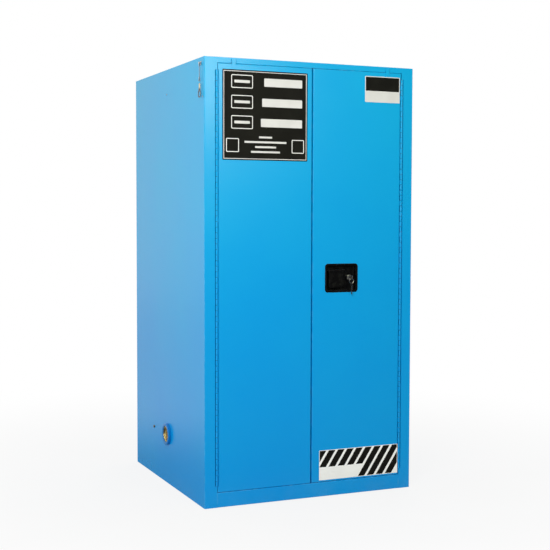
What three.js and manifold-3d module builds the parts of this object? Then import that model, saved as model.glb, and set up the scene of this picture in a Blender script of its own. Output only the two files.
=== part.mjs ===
// A double-walled steel safety cabinet for corrosive chemicals, with two self-closing doors on piano hinges.
// Millimetres, +Z up. The origin is on the floor, under the middle of the body. The doors face -Y.
// Left and right are the viewer's: left is -X.
import * as THREE from "three";
import { mergeVertices } from "three/addons/utils/BufferGeometryUtils.js";
import Module from "manifold-3d";

// Body and sheet steel
const BODY_WIDTH = 864;
const BODY_DEPTH = 864;
const BODY_HEIGHT = 1651;
const SHEET = 1.2;
const FIT = 0.3;
const WALL_GAP = 38;
const BASE_GAP = 30;
const EDGE_FLANGE = 15;
const REAR_FLANGE = 22;
const WALL_FLANGE = 12;
const OVERRUN = 5;
const GRID = 0.001;

// Front frame
const GROOVE_INSET = 41;
const GROOVE_DEPTH = 5;
const TOP_RAIL_HEIGHT = 21;
const BOTTOM_RAIL_HEIGHT = 55;
const LIP_REACH = 26;
const LIP_TAIL = 18;
const SUMP_DEPTH = 50;
const RUNNER_CENTRE = 230;
const RUNNER_WIDTH = 60;
const RUNNER_FOOT = 18;
const RUNNER_SPACE = 40;

// Doors
const DOOR_END_GAP = 1.5;
const CENTRE_GAP = 5.5;
const DOOR_EDGE_DEPTH = 22;
const DOOR_STOP_GAP = 0.6;
const DOOR_FLANGE = 29;
const PAN_INSET = 30;
const PAN_LAP = 6;
const PAN_DEPTH = 19;
const HOOK_SIDE_INSET = 113.5;
const HOOK_WIDTH = 16;
const HOOK_BELOW = 15;
const HOOK_ABOVE = 17;

// Piano hinges
const HINGE_INSET = 48;
const PIN_SETBACK = 2;
const KNUCKLE_RADIUS = 4;
const BORE_RADIUS = 2;
const PIN_RADIUS = 1.6;
const LEAF_THICKNESS = 1.5;
const LEAF_WIDTH = 18;
const KNUCKLE_PITCH = 40.7;
const KNUCKLE_GAP = 0.6;
const KNUCKLE_SIDES = 6;
const HINGE_END_INSET = 23;
const STILE_PAST_PIN = 2;
const DOOR_GROOVE = 8;

// Shelves
const STANDARD_WIDTH = 20;
const STANDARD_DEPTH = 11;
const STANDARD_MARGIN = 90;
const STANDARD_LOW = 110;
const STANDARD_BELOW_TOP = 111;
const SLOT_WIDTH = 5;
const SLOT_HEIGHT = 16;
const SLOT_PITCH = 78;
const LOWER_SHELF_SLOT = 5;
const UPPER_SHELF_SLOT = 12;
const SHELF_SHEET = 1.5;
const SHELF_EDGE = 25;
const SHELF_HEM = 10;
const SHELF_FRONT_SPACE = 70;
const SHELF_REAR_SPACE = 12;
const HOOK_THICKNESS = 3;
const HOOK_HEIGHT = 14;
const TRAY_WALL = 3;
const TRAY_HEIGHT = 38;
const TRAY_SPACE = 14;

// Vents and ground screw
const VENT_FROM_BACK = 431;
const LOW_VENT_HEIGHT = 200;
const HIGH_VENT_BELOW_TOP = 200;
const VENT_SIDES = 24;
const COLLAR_RADIUS = 42.5;
const COLLAR_REACH = 12;
const COLLAR_CHAMFER = 2;
const SLEEVE_RADIUS = 36.5;
const VENT_BORE_RADIUS = 32;
const BUNG_RADIUS = 31.7;
const BUNG_LENGTH = 14;
const BUNG_RIM = 5;
const BUNG_HOLLOW = 8;
const BUNG_RECESS = 3;
const BUNG_BAR = 9;
const SCREEN_THICKNESS = 2;
const SCREEN_HOLE_RADIUS = 7;
const SCREEN_PITCH = 17;
const GROUND_FROM_BACK = 254;
const GROUND_RADIUS = 3;
const GROUND_HEAD_RADIUS = 6.5;
const GROUND_HEAD = 4;

// Fusible link set
const LINK_FROM_FRONT = 36;
const LINK_BELOW_TOP = 21;
const LINK_STANDOFF = 6;
const ANCHOR_RADIUS = 2;
const ANCHOR_HEAD_RADIUS = 4.5;
const ANCHOR_HEAD = 1.5;
const ANCHOR_BASE_RADIUS = 7;
const WIRE_RADIUS = 0.8;
const WIRE_EYE_RADIUS = 3.3;
const WIRE_LENGTH = 62;
const LINK_WIDTH = 12;
const LINK_LENGTH = 33;
const LINK_THICKNESS = 1.6;
const LINK_HOLE_RADIUS = 2.4;
const LINK_HOLE_INSET = 4.4;
const RING_RADIUS = 12.6;
const RING_WIRE = 1.3;

// Latch
const DISH_FROM_EDGE = 52;
const DISH_WIDTH = 140;
const DISH_HEIGHT = 110;
const DISH_LEVEL = 840;
const DISH_CORNER = 12;
const DISH_RIM = 6;
const DISH_BEZEL = 1.5;
const DISH_DEPTH = 18;
const DISH_WALL = 2;
const PADDLE_FROM_DISH = 18.5;
const PADDLE_WIDTH = 61;
const PADDLE_HEIGHT = 69;
const PADDLE_BELOW_TOP = 23;
const PADDLE_SHEET = 2;
const PADDLE_SKIRT = 8;
const PADDLE_SETBACK = 1;
const PADDLE_PIN_RADIUS = 2;
const PADDLE_BARREL_RADIUS = 3.8;
const EAR_WIDTH = 6;
const ARM_WIDTH = 8;
const ARM_HEIGHT = 4;
const LOCK_FROM_DISH = 107.5;
const LOCK_RADIUS = 11;
const LOCK_REACH = 12;
const CAM_FROM_DISH = 38;
const CAM_HUB_RADIUS = 9;
const CAM_STUD_RADIUS = 4;
const CAM_THICKNESS = 3;
const CRANK_RADIUS = 23;
const CRANK_PIN_RADIUS = 2.5;
const CAM_EAR_OUT = 22;
const CAM_EAR_RISE = 24;
const CAM_NOTCH = 4;
const ROD_RADIUS = 4;
const ROD_FOOT_WIDTH = 24;
const ROD_FOOT_HEIGHT = 11;
const ROD_FOOT_THICKNESS = 4;
const ROD_SLOT_CLEARANCE = 1;
const ROD_STOP_SHORT = 1;
const GUIDE_FROM_END = 120;
const GUIDE_WIDTH = 22;
const GUIDE_HEIGHT = 16;
const STRIKE_WIDTH = 16;
const STRIKE_HEIGHT = 60;

// Key, ring and spare key
const KEY_THICKNESS = 2;
const KEY_BLADE = 8;
const KEY_BOW_RADIUS = 10;
const KEY_HOLE_RADIUS = 2.6;
const KEY_BLADE_LENGTH = 26;
const KEY_RING_RADIUS = 10;
const KEY_RING_WIRE = 0.9;
const KEY_CLEARANCE = 0.8;

// Planes that several pieces share
const SIDE = BODY_WIDTH / 2;
const FRONT = -BODY_DEPTH / 2;
const BACK = BODY_DEPTH / 2;
const LIP_FRONT = FRONT + DOOR_EDGE_DEPTH + FIT + SHEET + DOOR_STOP_GAP;
const LIP_BACK = LIP_FRONT + SHEET;
const RECESS_TOP = BODY_HEIGHT - TOP_RAIL_HEIGHT;
const RECESS_BOTTOM = BOTTOM_RAIL_HEIGHT;
const DOOR_TOP = RECESS_TOP - DOOR_END_GAP;
const DOOR_BOTTOM = RECESS_BOTTOM + DOOR_END_GAP;
const HINGE_TOP = DOOR_TOP - HINGE_END_INSET;
const HINGE_BOTTOM = DOOR_BOTTOM + HINGE_END_INSET;
const PIN_X = SIDE - HINGE_INSET;
const PIN_Y = FRONT + PIN_SETBACK;
const STILE_EDGE = PIN_X - STILE_PAST_PIN;
const STILE_RETURN = PIN_X + KNUCKLE_RADIUS + FIT;
const DOOR_RETURN = PIN_X - KNUCKLE_RADIUS - FIT;
const FREE_EDGE = CENTRE_GAP / 2;
const OPENING_SIDE = STILE_EDGE - LIP_REACH;
const OPENING_TOP = RECESS_TOP - LIP_REACH;
const OPENING_BOTTOM = RECESS_BOTTOM + LIP_REACH;
const WALL_X = SIDE - SHEET - WALL_GAP - SHEET;
const WALL_FRONT = LIP_BACK + FIT;
const BACK_PANEL_FACE = BACK - SHEET - FIT;
const WALL_BACK = BACK_PANEL_FACE - SHEET - WALL_GAP - SHEET;
const CEILING = BODY_HEIGHT - SHEET - WALL_GAP - SHEET;
const SUMP_FLOOR = SHEET + BASE_GAP;
const HIGH_VENT_HEIGHT = BODY_HEIGHT - HIGH_VENT_BELOW_TOP;
const LINK_HEIGHT = BODY_HEIGHT - LINK_BELOW_TOP;
const STANDARD_HIGH = BODY_HEIGHT - STANDARD_BELOW_TOP;
const PAN_RIM_FRONT = FRONT + DOOR_EDGE_DEPTH + FIT;
const PAN_BACK = PAN_RIM_FRONT + SHEET + PAN_DEPTH;
const PAN_SIDE = DOOR_RETURN - PAN_INSET;
const PAN_FREE_SIDE = FREE_EDGE + PAN_INSET;
const PAN_TOP = DOOR_TOP - PAN_INSET;
const PAN_BOTTOM = DOOR_BOTTOM + PAN_INSET;

const wasm = await Module();
wasm.setup();

// A closed three.js geometry as a solid that can be joined and cut. Its places are rounded to the grid,
// so that faces meant to lie in one plane do.
function solidOf(geometry) {
  const bare = geometry.clone();
  bare.deleteAttribute("normal");
  bare.deleteAttribute("uv");
  const places = bare.attributes.position.array;
  places.forEach((place, i) => {
    places[i] = Math.round(place / GRID) * GRID;
  });
  const merged = mergeVertices(bare, 1e-4);
  const vertProperties = merged.attributes.position.array;
  const corners = merged.index.array;
  const kept = [];
  for (let i = 0; i < corners.length; i += 3) {
    const [a, b, c] = corners.slice(i, i + 3);
    if (a !== b && b !== c && c !== a) kept.push(a, b, c);
  }
  const triVerts = new Uint32Array(kept);
  return new wasm.Manifold(new wasm.Mesh({ numProp: 3, vertProperties, triVerts }));
}

function join(solids) {
  return solids.reduce((whole, solid) => whole.add(solid));
}

// A block between two opposite corners, given in any order.
function block([ax, ay, az], [bx, by, bz]) {
  const geometry = new THREE.BoxGeometry(Math.abs(bx - ax), Math.abs(by - ay), Math.abs(bz - az));
  geometry.translate((ax + bx) / 2, (ay + by) / 2, (az + bz) / 2);
  return solidOf(geometry);
}

// A block hollowed from one end of its height, which leaves a floor and four walls of sheet.
// openEnd is 1 for a pan that is open at its top and -1 for one that is open below.
function pan(low, high, wall, openEnd) {
  const hollowLow = [low[0] + wall, low[1] + wall, openEnd > 0 ? low[2] + wall : low[2] - OVERRUN];
  const hollowHigh = [high[0] - wall, high[1] - wall, openEnd > 0 ? high[2] + OVERRUN : high[2] - wall];
  return block(low, high).subtract(block(hollowLow, hollowHigh));
}

function outlineOf(points) {
  return new THREE.Shape(points.map(([a, b]) => new THREE.Vector2(a, b)));
}

// An outline drawn in X and Y, as tall as from low to high.
function extrudeUp(shape, low, high, curveSegments = 4) {
  const geometry = new THREE.ExtrudeGeometry(shape, { depth: high - low, bevelEnabled: false, curveSegments });
  geometry.translate(0, 0, low);
  return solidOf(geometry);
}

// An outline drawn in X and Z, as deep as from front to back.
function extrudeBack(shape, front, back, curveSegments = 3) {
  const geometry = new THREE.ExtrudeGeometry(shape, { depth: back - front, bevelEnabled: false, curveSegments });
  geometry.rotateX(Math.PI / 2);
  geometry.translate(0, back, 0);
  return solidOf(geometry);
}

// An outline drawn in Y and Z, as wide as from left to right.
function extrudeAcross(shape, left, right, curveSegments = 4) {
  const geometry = new THREE.ExtrudeGeometry(shape, { depth: right - left, bevelEnabled: false, curveSegments });
  const turn = new THREE.Matrix4().makeBasis(
    new THREE.Vector3(0, 1, 0),
    new THREE.Vector3(0, 0, 1),
    new THREE.Vector3(1, 0, 0),
  );
  geometry.applyMatrix4(turn);
  geometry.translate(left, 0, 0);
  return solidOf(geometry);
}

// A closed profile of [radius, distance along the axis] points, turned about an axis: "x", "y" or "z".
function turned(profile, axis, [x, y, z], sides) {
  const points = profile.map(([radius, along]) => new THREE.Vector2(radius, along));
  points.push(points[0].clone());
  const geometry = new THREE.LatheGeometry(points, sides);
  if (axis === "x") geometry.rotateZ(-Math.PI / 2);
  if (axis === "z") geometry.rotateX(Math.PI / 2);
  geometry.translate(x, y, z);
  const made = solidOf(geometry);
  return made.volume() > 0 ? made : solidOf(flipped(geometry));
}

// The same surface with each triangle facing the other way.
function flipped(geometry) {
  const other = geometry.clone();
  const index = other.index.array;
  for (let i = 0; i < index.length; i += 3) {
    const kept = index[i + 1];
    index[i + 1] = index[i + 2];
    index[i + 2] = kept;
  }
  return other;
}

// A round bar from one place along an axis to another.
function bar(radius, axis, [x, y, z], from, to, sides) {
  const profile = [[0, from], [radius, from], [radius, to], [0, to]];
  return turned(profile, axis, [x, y, z], sides);
}

// A ring of round wire. Its hole's axis is "x", "y" or "z".
function wireRing(ringRadius, wireRadius, axis, [x, y, z], sides, steps) {
  const geometry = new THREE.TorusGeometry(ringRadius, wireRadius, sides, steps);
  if (axis === "x") geometry.rotateY(Math.PI / 2);
  if (axis === "y") geometry.rotateX(Math.PI / 2);
  geometry.translate(x, y, z);
  return solidOf(geometry);
}

// The cut end of a folded sheet: an open path of its outer face, thickened to the left of the path.
function foldedSheet(path, thickness) {
  const normals = path.slice(1).map(([x, y], i) => {
    const [fromX, fromY] = path[i];
    const length = Math.hypot(x - fromX, y - fromY);
    return [-(y - fromY) / length, (x - fromX) / length];
  });
  const inner = path.map(([x, y], i) => {
    const before = normals[Math.max(i - 1, 0)];
    const after = normals[Math.min(i, normals.length - 1)];
    const shared = 1 + before[0] * after[0] + before[1] * after[1];
    const reach = thickness / shared;
    return [x + (before[0] + after[0]) * reach, y + (before[1] + after[1]) * reach];
  });
  return [...path, ...inner.reverse()];
}

// The points of an outline on the side asked for: 1 keeps the right side, -1 mirrors it to the left.
function onSide(points, side) {
  return points.map(([x, y]) => [side * x, y]);
}

function roundedRectangle(left, right, bottom, top, radius) {
  const shape = new THREE.Shape();
  shape.moveTo(left + radius, bottom);
  shape.lineTo(right - radius, bottom);
  shape.absarc(right - radius, bottom + radius, radius, -Math.PI / 2, 0, false);
  shape.lineTo(right, top - radius);
  shape.absarc(right - radius, top - radius, radius, 0, Math.PI / 2, false);
  shape.lineTo(left + radius, top);
  shape.absarc(left + radius, top - radius, radius, Math.PI / 2, Math.PI, false);
  shape.lineTo(left, bottom + radius);
  shape.absarc(left + radius, bottom + radius, radius, Math.PI, Math.PI * 1.5, false);
  return shape;
}

// The corners of a regular polygon round a middle point.
function polygon(x, y, radius, sides) {
  return Array.from({ length: sides }, (_, corner) => {
    const angle = (corner * Math.PI * 2) / sides;
    return [x + radius * Math.cos(angle), y + radius * Math.sin(angle)];
  });
}

const cabinet = new THREE.Group();

const FINISHES = {
  frontBlue: { color: 0x149be8, roughness: 0.35, metalness: 0 },
  innerBlue: { color: 0x1b8ed6, roughness: 0.4, metalness: 0 },
  steel: { color: 0xb9bdc0, roughness: 0.35, metalness: 1 },
  brass: { color: 0xc9a24a, roughness: 0.3, metalness: 1 },
  black: { color: 0x111214, roughness: 0.35, metalness: 0 },
  plastic: { color: 0xe9e9e4, roughness: 0.55, metalness: 0 },
};

function place(name, solid, finish) {
  const made = solid.getMesh();
  const geometry = new THREE.BufferGeometry();
  geometry.setAttribute("position", new THREE.BufferAttribute(made.vertProperties, 3));
  geometry.setIndex(new THREE.BufferAttribute(made.triVerts, 1));
  geometry.computeVertexNormals();
  const mesh = new THREE.Mesh(geometry, new THREE.MeshStandardMaterial(FINISHES[finish]));
  mesh.name = name;
  cabinet.add(mesh);
}

// Outer shell

const VENT_Y = BACK - VENT_FROM_BACK;
const GROUND_Y = BACK - GROUND_FROM_BACK;
const LINK_Y = FRONT + LINK_FROM_FRONT;

// One side: the wall, a flange at the back, the stile's face, the hinge groove and the return behind it.
function sidePanel(side, ventHeight) {
  const path = [
    [SIDE - REAR_FLANGE, BACK],
    [SIDE, BACK],
    [SIDE, FRONT],
    [SIDE - GROOVE_INSET, FRONT],
    [SIDE - GROOVE_INSET, FRONT + GROOVE_DEPTH],
    [STILE_RETURN, FRONT + GROOVE_DEPTH],
    [STILE_RETURN, LIP_FRONT - FIT],
  ];
  const wall = extrudeUp(outlineOf(onSide(foldedSheet(path, -SHEET), side)), 0, BODY_HEIGHT);
  const ends = [[0, HINGE_BOTTOM], [HINGE_TOP, BODY_HEIGHT]].map(([low, high]) =>
    block([side * STILE_EDGE, FRONT, low], [side * (SIDE - GROOVE_INSET + SHEET), FRONT + SHEET, high]));
  const ventHole = bar(SLEEVE_RADIUS + FIT, "x", [0, VENT_Y, ventHeight], ...wallSpan(side), VENT_SIDES);
  const groundHole = bar(GROUND_RADIUS + FIT, "x", [0, GROUND_Y, LOW_VENT_HEIGHT], ...wallSpan(side), 8);
  const anchorHole = bar(ANCHOR_RADIUS + FIT, "x", [0, LINK_Y, LINK_HEIGHT], ...wallSpan(side), 8);
  const topRoom = block(
    [0, FRONT + SHEET, BODY_HEIGHT - EDGE_FLANGE - FIT],
    [side * (SIDE - SHEET), BACK - SHEET, BODY_HEIGHT + OVERRUN],
  );
  const holes = side < 0 ? [topRoom, ventHole, groundHole, anchorHole] : [topRoom, ventHole, anchorHole];
  return holes.reduce((panel, hole) => panel.subtract(hole), join([wall, ...ends]));
}

// The stretch along X that passes through one side's outer wall.
function wallSpan(side) {
  return side > 0 ? [SIDE - OVERRUN, SIDE + OVERRUN] : [-SIDE - OVERRUN, -SIDE + OVERRUN];
}

function backPanel() {
  const halfWidth = SIDE - SHEET - FIT;
  return block([-halfWidth, BACK_PANEL_FACE - SHEET, 0], [halfWidth, BACK_PANEL_FACE, BODY_HEIGHT]);
}

// The top sheet, with its four edges folded down inside the sides, the rail and the back.
function topPanel() {
  const halfWidth = SIDE - SHEET - FIT;
  return pan(
    [-halfWidth, FRONT + SHEET + FIT, BODY_HEIGHT - EDGE_FLANGE],
    [halfWidth, BACK_PANEL_FACE - SHEET - FIT, BODY_HEIGHT],
    SHEET, -1,
  );
}

function baseRunner(side) {
  const left = side * RUNNER_CENTRE - RUNNER_WIDTH / 2;
  const right = left + RUNNER_WIDTH;
  const foot = SHEET + SHEET / 2;
  const path = [
    [left - RUNNER_FOOT, foot],
    [left, foot],
    [left, SUMP_FLOOR - FIT],
    [right, SUMP_FLOOR - FIT],
    [right, foot],
    [right + RUNNER_FOOT, foot],
  ];
  return extrudeBack(outlineOf(foldedSheet(path, -SHEET)), WALL_FRONT + RUNNER_SPACE, WALL_BACK - RUNNER_SPACE);
}

// The bottom sheet that the cabinet stands on, with two hat-section runners welded to it under the sump.
function basePanel() {
  const halfWidth = SIDE - SHEET - FIT;
  const sheet = pan(
    [-halfWidth, LIP_BACK + FIT, 0],
    [halfWidth, BACK_PANEL_FACE - SHEET - FIT, EDGE_FLANGE],
    SHEET, 1,
  );
  return join([sheet, baseRunner(-1), baseRunner(1)]);
}

function topRail() {
  const path = [
    [FRONT, BODY_HEIGHT],
    [FRONT, RECESS_TOP],
    [LIP_FRONT - FIT, RECESS_TOP],
  ];
  const halfWidth = STILE_EDGE - FIT;
  return extrudeAcross(outlineOf(foldedSheet(path, SHEET)), -halfWidth, halfWidth);
}

function bottomRail() {
  const path = [
    [LIP_BACK, 0],
    [FRONT, 0],
    [FRONT, RECESS_BOTTOM],
    [LIP_FRONT - FIT, RECESS_BOTTOM],
  ];
  const halfWidth = STILE_EDGE - FIT;
  return extrudeAcross(outlineOf(foldedSheet(path, -SHEET)), -halfWidth, halfWidth);
}

// The frame that the doors close against and that joins the outer shell to the inner box.
function doorLip() {
  const halfWidth = SIDE - SHEET - FIT;
  const shape = outlineOf([
    [-halfWidth, RECESS_BOTTOM - LIP_TAIL],
    [halfWidth, RECESS_BOTTOM - LIP_TAIL],
    [halfWidth, BODY_HEIGHT - SHEET - FIT],
    [-halfWidth, BODY_HEIGHT - SHEET - FIT],
  ]);
  shape.holes.push(outlineOf([
    [-OPENING_SIDE, OPENING_BOTTOM],
    [-OPENING_SIDE, OPENING_TOP],
    [OPENING_SIDE, OPENING_TOP],
    [OPENING_SIDE, OPENING_BOTTOM],
  ]));
  const flangeRoom = [-1, 1].map((side) =>
    block(
      [side * (halfWidth - SHEET - FIT), LIP_FRONT - OVERRUN, BODY_HEIGHT],
      [side * SIDE, LIP_BACK + OVERRUN, BODY_HEIGHT - EDGE_FLANGE - FIT],
    ));
  return flangeRoom.reduce((made, room) => made.subtract(room), extrudeBack(shape, LIP_FRONT, LIP_BACK));
}

// Inner box

// A side wall with a flange at the front and one at the back, and a hole for the vent's sleeve.
function innerWall(side, ventHeight) {
  const path = [
    [WALL_X + WALL_FLANGE, WALL_FRONT],
    [WALL_X, WALL_FRONT],
    [WALL_X, WALL_BACK - FIT],
    [WALL_X + WALL_FLANGE, WALL_BACK - FIT],
  ];
  const wall = extrudeUp(outlineOf(onSide(foldedSheet(path, -SHEET), side)), SUMP_FLOOR, CEILING - FIT);
  const span = side > 0 ? [WALL_X - OVERRUN, WALL_X + OVERRUN] : [-WALL_X - OVERRUN, -WALL_X + OVERRUN];
  return wall.subtract(bar(SLEEVE_RADIUS + FIT, "x", [0, VENT_Y, ventHeight], ...span, VENT_SIDES));
}

function innerBackWall() {
  const halfWidth = WALL_X + WALL_FLANGE;
  return block([-halfWidth, WALL_BACK, SUMP_FLOOR], [halfWidth, WALL_BACK + SHEET, CEILING - FIT]);
}

function innerCeiling() {
  const halfWidth = WALL_X + SHEET;
  return pan([-halfWidth, WALL_FRONT, CEILING], [halfWidth, WALL_BACK + SHEET, CEILING + WALL_FLANGE], SHEET, 1);
}

// The liquid-tight pan at the bottom of the inner box, open at its top.
function sumpPan() {
  const halfWidth = WALL_X - FIT;
  return pan(
    [-halfWidth, WALL_FRONT, SUMP_FLOOR],
    [halfWidth, WALL_BACK - FIT, SUMP_FLOOR + SUMP_DEPTH],
    SHEET, 1,
  );
}

// Shelf standards, shelves and trays

const STANDARD_FRONT_Y = WALL_FRONT + STANDARD_MARGIN;
const STANDARD_REAR_Y = WALL_BACK - STANDARD_MARGIN;
const STANDARD_FACE = WALL_X - FIT - STANDARD_DEPTH;

function slotHeight(number) {
  return STANDARD_LOW + SLOT_PITCH * number;
}

// A channel screwed to the wall with its open side to the wall and a row of slots in its face.
function shelfStandard(side, y) {
  const path = [
    [WALL_X - FIT, y - STANDARD_WIDTH / 2],
    [STANDARD_FACE, y - STANDARD_WIDTH / 2],
    [STANDARD_FACE, y + STANDARD_WIDTH / 2],
    [WALL_X - FIT, y + STANDARD_WIDTH / 2],
  ];
  const channel = extrudeUp(outlineOf(onSide(foldedSheet(path, -SHEET), side)), STANDARD_LOW, STANDARD_HIGH);
  const count = Math.floor((STANDARD_HIGH - STANDARD_LOW - SLOT_HEIGHT) / SLOT_PITCH);
  return Array.from({ length: count }, (_, i) => slotHeight(i + 1)).reduce(
    (made, middle) => made.subtract(block(
      [side * (STANDARD_FACE - OVERRUN), y - SLOT_WIDTH / 2, middle - SLOT_HEIGHT / 2],
      [side * (STANDARD_FACE + OVERRUN), y + SLOT_WIDTH / 2, middle + SLOT_HEIGHT / 2],
    )),
    channel,
  );
}

// A shelf: a sheet folded down on all four sides and turned in below, with a hook at each corner.
function shelf(slot) {
  const top = slotHeight(slot) + SHELF_EDGE / 2;
  const low = top - SHELF_EDGE;
  const front = WALL_FRONT + SHELF_FRONT_SPACE;
  const back = WALL_BACK - SHELF_REAR_SPACE;
  const halfWidth = STANDARD_FACE - FIT;
  const inner = halfWidth - SHELF_SHEET;
  const hollow = block(
    [-inner, front + SHELF_SHEET, low + SHELF_SHEET],
    [inner, back - SHELF_SHEET, top - SHELF_SHEET],
  );
  const opening = block(
    [-inner + SHELF_HEM, front + SHELF_SHEET + SHELF_HEM, low - OVERRUN],
    [inner - SHELF_HEM, back - SHELF_SHEET - SHELF_HEM, low + SHELF_SHEET + OVERRUN],
  );
  const sheet = block([-halfWidth, front, low], [halfWidth, back, top]).subtract(hollow).subtract(opening);
  const hookLow = slotHeight(slot) - SLOT_HEIGHT / 2 + FIT;
  const hooks = [-1, 1].flatMap((side) =>
    [STANDARD_FRONT_Y, STANDARD_REAR_Y].map((y) =>
      block(
        [side * (halfWidth - SHELF_SHEET / 2), y - HOOK_THICKNESS / 2, hookLow],
        [side * (STANDARD_FACE + SHEET + HOOK_THICKNESS), y + HOOK_THICKNESS / 2, hookLow + HOOK_HEIGHT],
      )));
  return join([sheet, ...hooks]);
}

// An open plastic tray that stands on a shelf.
function shelfTray(slot) {
  const low = slotHeight(slot) + SHELF_EDGE / 2 + FIT;
  const halfWidth = STANDARD_FACE - FIT - TRAY_SPACE;
  const front = WALL_FRONT + SHELF_FRONT_SPACE + TRAY_SPACE;
  const back = WALL_BACK - SHELF_REAR_SPACE - TRAY_SPACE;
  return pan([-halfWidth, front, low], [halfWidth, back, low + TRAY_HEIGHT], TRAY_WALL, 1);
}

// Vents

// The sleeve through both walls, with the round collar outside.
function ventSleeve(side, ventHeight) {
  const seat = SIDE + FIT;
  const outer = SIDE + COLLAR_REACH;
  const inner = WALL_X - FIT - SHEET;
  const profile = [
    [VENT_BORE_RADIUS, inner],
    [SLEEVE_RADIUS, inner],
    [SLEEVE_RADIUS, seat],
    [COLLAR_RADIUS, seat],
    [COLLAR_RADIUS, outer - COLLAR_CHAMFER],
    [COLLAR_RADIUS - COLLAR_CHAMFER, outer],
    [VENT_BORE_RADIUS, outer],
  ].map(([radius, along]) => [radius, side * along]);
  return turned(profile, "x", [0, VENT_Y, ventHeight], VENT_SIDES);
}

// The brass bung: a rim round a hollow that a bar crosses, for the key that turns it.
function ventBung(side, ventHeight) {
  const outer = SIDE + COLLAR_REACH - BUNG_RECESS;
  const profile = [
    [0, outer - BUNG_LENGTH],
    [BUNG_RADIUS, outer - BUNG_LENGTH],
    [BUNG_RADIUS, outer],
    [BUNG_RADIUS - BUNG_RIM, outer],
    [BUNG_RADIUS - BUNG_RIM - BUNG_HOLLOW / 2, outer - BUNG_HOLLOW],
    [0, outer - BUNG_HOLLOW],
  ].map(([radius, along]) => [radius, side * along]);
  const cap = turned(profile, "x", [0, VENT_Y, ventHeight], VENT_SIDES);
  const reach = BUNG_RADIUS - BUNG_RIM;
  const grip = block(
    [side * (outer - BUNG_HOLLOW - SHEET), VENT_Y - BUNG_BAR / 2, ventHeight - reach],
    [side * (outer - SHEET), VENT_Y + BUNG_BAR / 2, ventHeight + reach],
  );
  return cap.add(grip);
}

// The flame arrester: a perforated disc at the sleeve's inner end, its holes in a honeycomb.
function flameArrester(side, ventHeight) {
  const shape = outlineOf(polygon(VENT_Y, ventHeight, BUNG_RADIUS, VENT_SIDES));
  const rows = [-1, 0, 1];
  rows.forEach((row) => {
    const inRow = rows.length - Math.abs(row);
    for (let i = 0; i < inRow; i += 1) {
      const y = VENT_Y + (i - (inRow - 1) / 2) * SCREEN_PITCH;
      const z = ventHeight + row * SCREEN_PITCH * Math.sin(Math.PI / 3);
      shape.holes.push(outlineOf(polygon(y, z, SCREEN_HOLE_RADIUS, 6)));
    }
  });
  const near = side * (WALL_X - SHEET);
  const far = side * (WALL_X - SHEET + SCREEN_THICKNESS);
  return extrudeAcross(shape, Math.min(near, far), Math.max(near, far));
}

// A brass screw through the left wall, for the earthing wire, with its nut inside.
function groundScrew() {
  const along = [
    [0, SIDE - SHEET - FIT - GROUND_HEAD],
    [GROUND_HEAD_RADIUS, SIDE - SHEET - FIT - GROUND_HEAD],
    [GROUND_HEAD_RADIUS, SIDE - SHEET - FIT],
    [GROUND_RADIUS, SIDE - SHEET - FIT],
    [GROUND_RADIUS, SIDE + FIT],
    [GROUND_HEAD_RADIUS, SIDE + FIT],
    [GROUND_HEAD_RADIUS, SIDE + FIT + GROUND_HEAD],
    [0, SIDE + FIT + GROUND_HEAD],
  ];
  return turned(along.map(([radius, x]) => [radius, -x]), "x", [0, GROUND_Y, LOW_VENT_HEIGHT], 6);
}

// Fusible links

// The stud that the wire hangs from, with a washer outside and a nut inside the wall.
function linkAnchor(side) {
  const profile = [
    [0, SIDE - SHEET - FIT - ANCHOR_HEAD],
    [ANCHOR_HEAD_RADIUS, SIDE - SHEET - FIT - ANCHOR_HEAD],
    [ANCHOR_HEAD_RADIUS, SIDE - SHEET - FIT],
    [ANCHOR_RADIUS, SIDE - SHEET - FIT],
    [ANCHOR_RADIUS, SIDE + FIT],
    [ANCHOR_BASE_RADIUS, SIDE + FIT],
    [ANCHOR_BASE_RADIUS, SIDE + FIT + SHEET],
    [ANCHOR_RADIUS, SIDE + FIT + SHEET],
    [ANCHOR_RADIUS, SIDE + LINK_STANDOFF + ANCHOR_RADIUS],
    [ANCHOR_HEAD_RADIUS, SIDE + LINK_STANDOFF + ANCHOR_RADIUS],
    [ANCHOR_HEAD_RADIUS, SIDE + LINK_STANDOFF + ANCHOR_RADIUS + ANCHOR_HEAD],
    [0, SIDE + LINK_STANDOFF + ANCHOR_RADIUS + ANCHOR_HEAD],
  ];
  return turned(profile.map(([radius, x]) => [radius, side * x]), "x", [0, LINK_Y, LINK_HEIGHT], 8);
}

const WIRE_DROP = WIRE_EYE_RADIUS - WIRE_RADIUS - ANCHOR_RADIUS - FIT / 2;
const UPPER_EYE_Z = LINK_HEIGHT - WIRE_DROP;
const LOWER_EYE_Z = LINK_HEIGHT - WIRE_LENGTH;
const LINK_SEAT_DROP = LINK_HOLE_RADIUS * Math.cos(Math.PI / 8) - WIRE_RADIUS - FIT;
const LINK_TOP = LOWER_EYE_Z - WIRE_EYE_RADIUS - LINK_SEAT_DROP + LINK_HOLE_INSET;
const LINK_BOTTOM = LINK_TOP - LINK_LENGTH;
const RING_EYE_Z = LINK_BOTTOM + LINK_HOLE_INSET - LINK_SEAT_DROP - WIRE_EYE_RADIUS;
const RING_Z = RING_EYE_Z - WIRE_EYE_RADIUS - RING_RADIUS;

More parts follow.
